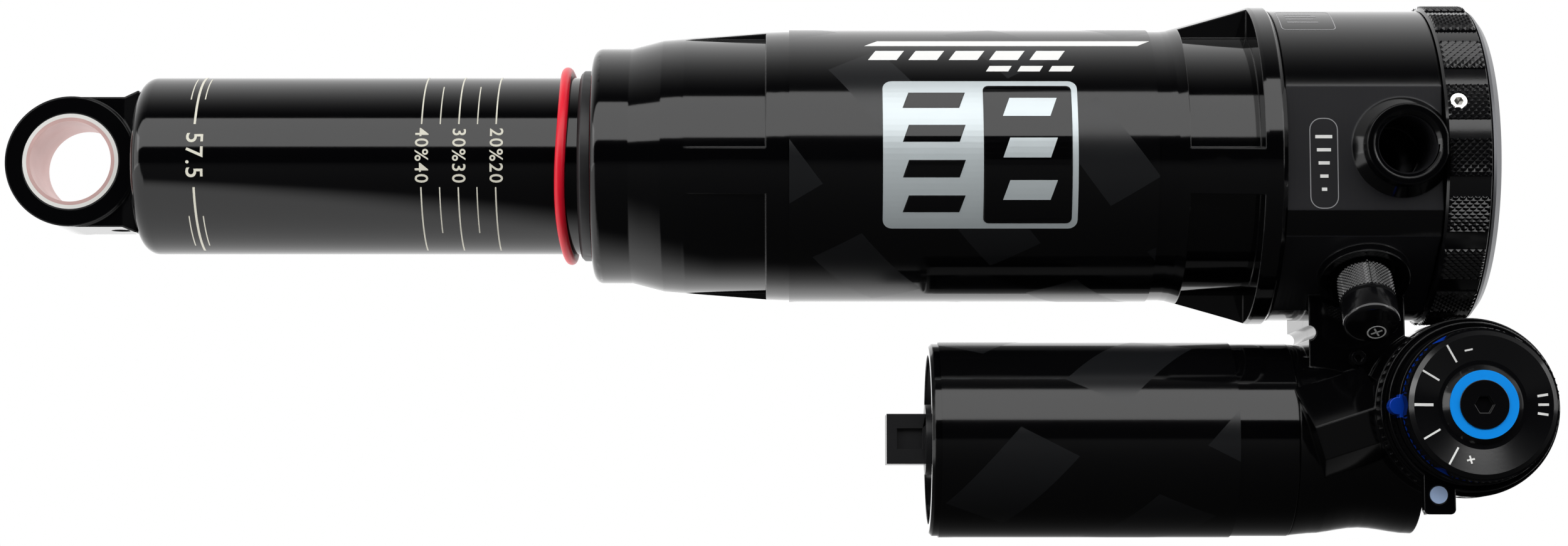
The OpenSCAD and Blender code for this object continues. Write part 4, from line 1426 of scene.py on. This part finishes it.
@dataclass
class Studio:
    """Camera, panels, floor and backdrop.

    Fields give the camera's place, tilt and lens, the point that the panels face, how
    far the panels stand from it, their sizes and radiances, the floor's drop below the
    shock, the slope, offset and nearest place of the edge of its lit part, the width
    over which the light fades, its brightness in reflections and to the camera, and
    the cove's start, end and brightness.
    """

    camera_place: tuple[float, float, float] = (0.1116, -0.4727, -0.0600)
    camera_tilt: float = 95.2
    lens: float = 69.0
    middle: tuple[float, float, float] = (0.11, 0, -0.01)
    top_offset: tuple[float, float, float] = (0, -0.56, 0.44)
    top_size: Point = (2.4, 0.5)
    top_radiance: float = 2.5
    end_offset: tuple[float, float, float] = (0.9, -0.38, 0.02)
    end_size: Point = (0.6, 0.9)
    end_radiance: float = 2.0
    drop: float = 0.0019
    edge: tuple[float, float, float] = (1.2, -0.13, -0.010)
    fade: float = 0.05
    table_dim: float = 0.02
    table_bright: float = 1.25
    table_seen: float = 0.97
    cove: tuple[float, float, float] = (-0.6, 0.7, 1.7)

    def camera(self) -> None:
        """Adds the camera and makes it the scene's."""
        data = bpy.data.cameras.new("camera")
        data.lens = self.lens
        data.sensor_width = 36
        data.clip_start = 0.01
        data.clip_end = 20
        eye = bpy.data.objects.new("camera", data)
        eye.location = self.camera_place
        eye.rotation_euler = (math.radians(self.camera_tilt), 0, 0)
        bpy.context.scene.collection.objects.link(eye)
        bpy.context.scene.camera = eye

    def panel(self, name: str, place: Vector, aim: Vector, size: Point, radiance: float) -> None:
        """Adds a soft rectangular light.

        Args:
            name: Name of the light.
            place: Centre of the panel.
            aim: Point that it faces.
            size: Width along X and height.
            radiance: How bright its face looks.
        """
        data = bpy.data.lights.new(name, "AREA")
        data.shape = "RECTANGLE"
        data.size, data.size_y = size
        data.energy = radiance * math.pi * size[0] * size[1]
        light = bpy.data.objects.new(name, data)
        light.location = place
        light.rotation_euler = (place - aim).to_track_quat("Z", "Y").to_euler()
        bpy.context.scene.collection.objects.link(light)

    def lights(self) -> None:
        """Panels above the front and at both ends."""
        middle = Vector(self.middle)
        top = middle + Vector(self.top_offset)
        self.panel(Side.FRONT_HIGH.value, top, middle, self.top_size, self.top_radiance)
        out, front, up = self.end_offset
        for side, sign in ((Side.LEFT, -1), (Side.RIGHT, 1)):
            place = middle + Vector((out * sign, front, up))
            self.panel(side.value, place, middle, self.end_size, self.end_radiance)

    def surroundings(self) -> None:
        """A floor that the camera sees plain and pale, and that reflections see lit
        behind the shock and dark in front of it."""
        floor_z = CAD_BOX[0][2] - self.drop
        deselect()
        bpy.ops.mesh.primitive_plane_add(size=4, location=(0.11, 0.5, floor_z))
        floor = put(take("floor"), Matrix.Identity(4))
        glow = Graph("light_table")
        glow.shader.inputs["Base Color"].default_value = (0.0, 0.0, 0.0, 1)
        glow.shader.inputs["Roughness"].default_value = 0.9
        glow.shader.inputs["Emission Color"].default_value = (1, 1, 1, 1)
        x, y, _ = glow.axes()
        slope, offset, nearest = self.edge
        edge = glow.math("MINIMUM", glow.math("MULTIPLY_ADD", x, slope, offset), nearest)
        inside = glow.math("SUBTRACT", y, edge)
        fade = glow.node("ShaderNodeMapRange", interpolation_type="SMOOTHSTEP")
        fade.inputs["From Max"].default_value = self.fade
        fade.inputs["To Min"].default_value = self.table_dim
        fade.inputs["To Max"].default_value = self.table_bright
        glow.link(inside, fade.inputs["Value"])
        seen = glow.node("ShaderNodeLightPath").outputs["Is Camera Ray"]
        strength = glow.math("MAXIMUM", fade.outputs[0], seen)
        limit = glow.math("MULTIPLY_ADD", seen, self.table_seen - self.table_bright,
                          self.table_bright)
        strength = glow.math("MINIMUM", strength, limit)
        glow.link(strength, glow.shader.inputs["Emission Strength"])
        floor.data.materials.append(glow.material)

    def room(self) -> None:
        """A white cove that lights the shock from behind and leaves the front dark."""
        world = bpy.data.worlds.new("room")
        bpy.context.scene.world = world
        world.use_nodes = True
        tree = world.node_tree
        tree.nodes.clear()
        out = tree.nodes.new("ShaderNodeOutputWorld")
        white = tree.nodes.new("ShaderNodeBackground")
        white.inputs["Color"].default_value = (1, 1, 1, 1)
        cove = tree.nodes.new("ShaderNodeBackground")
        way = tree.nodes.new("ShaderNodeTexCoord")
        split = tree.nodes.new("ShaderNodeSeparateXYZ")
        ramp = tree.nodes.new("ShaderNodeMapRange")
        ramp.interpolation_type = "SMOOTHERSTEP"
        for socket, value in zip(("From Min", "From Max", "To Max"), self.cove):
            ramp.inputs[socket].default_value = value
        mix = tree.nodes.new("ShaderNodeMixShader")
        rays = tree.nodes.new("ShaderNodeLightPath")
        tree.links.new(way.outputs["Generated"], split.inputs[0])
        tree.links.new(split.outputs[1], ramp.inputs["Value"])
        tree.links.new(ramp.outputs[0], cove.inputs["Strength"])
        tree.links.new(rays.outputs["Is Camera Ray"], mix.inputs[0])
        tree.links.new(cove.outputs[0], mix.inputs[1])
        tree.links.new(white.outputs[0], mix.inputs[2])
        tree.links.new(mix.outputs[0], out.inputs[0])

    def build(self) -> None:
        """Sets up the whole studio."""
        self.camera()
        self.lights()
        self.surroundings()
        self.room()
        view = bpy.context.scene.view_settings
        view.view_transform = "Standard"
        view.look = "None"
        view.exposure = 0.0


def main() -> None:
    """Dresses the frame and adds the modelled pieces."""
    logging.basicConfig(level=logging.INFO, format="%(name)s: %(message)s")
    Studio().build()
    paint_frame()
    for node, width in BROKEN_EDGES.items():
        BrokenEdges(node, width).build()
    TravelScale().build()
    SagMarker().build()
    CanGraphics().build()
    KnurledRing().build()
    ValveCap().build()
    TrunnionThreads().build()
    DialMarks().build()
    HeadLabels().build()
    deselect()


if __name__ == "__main__":
    main()
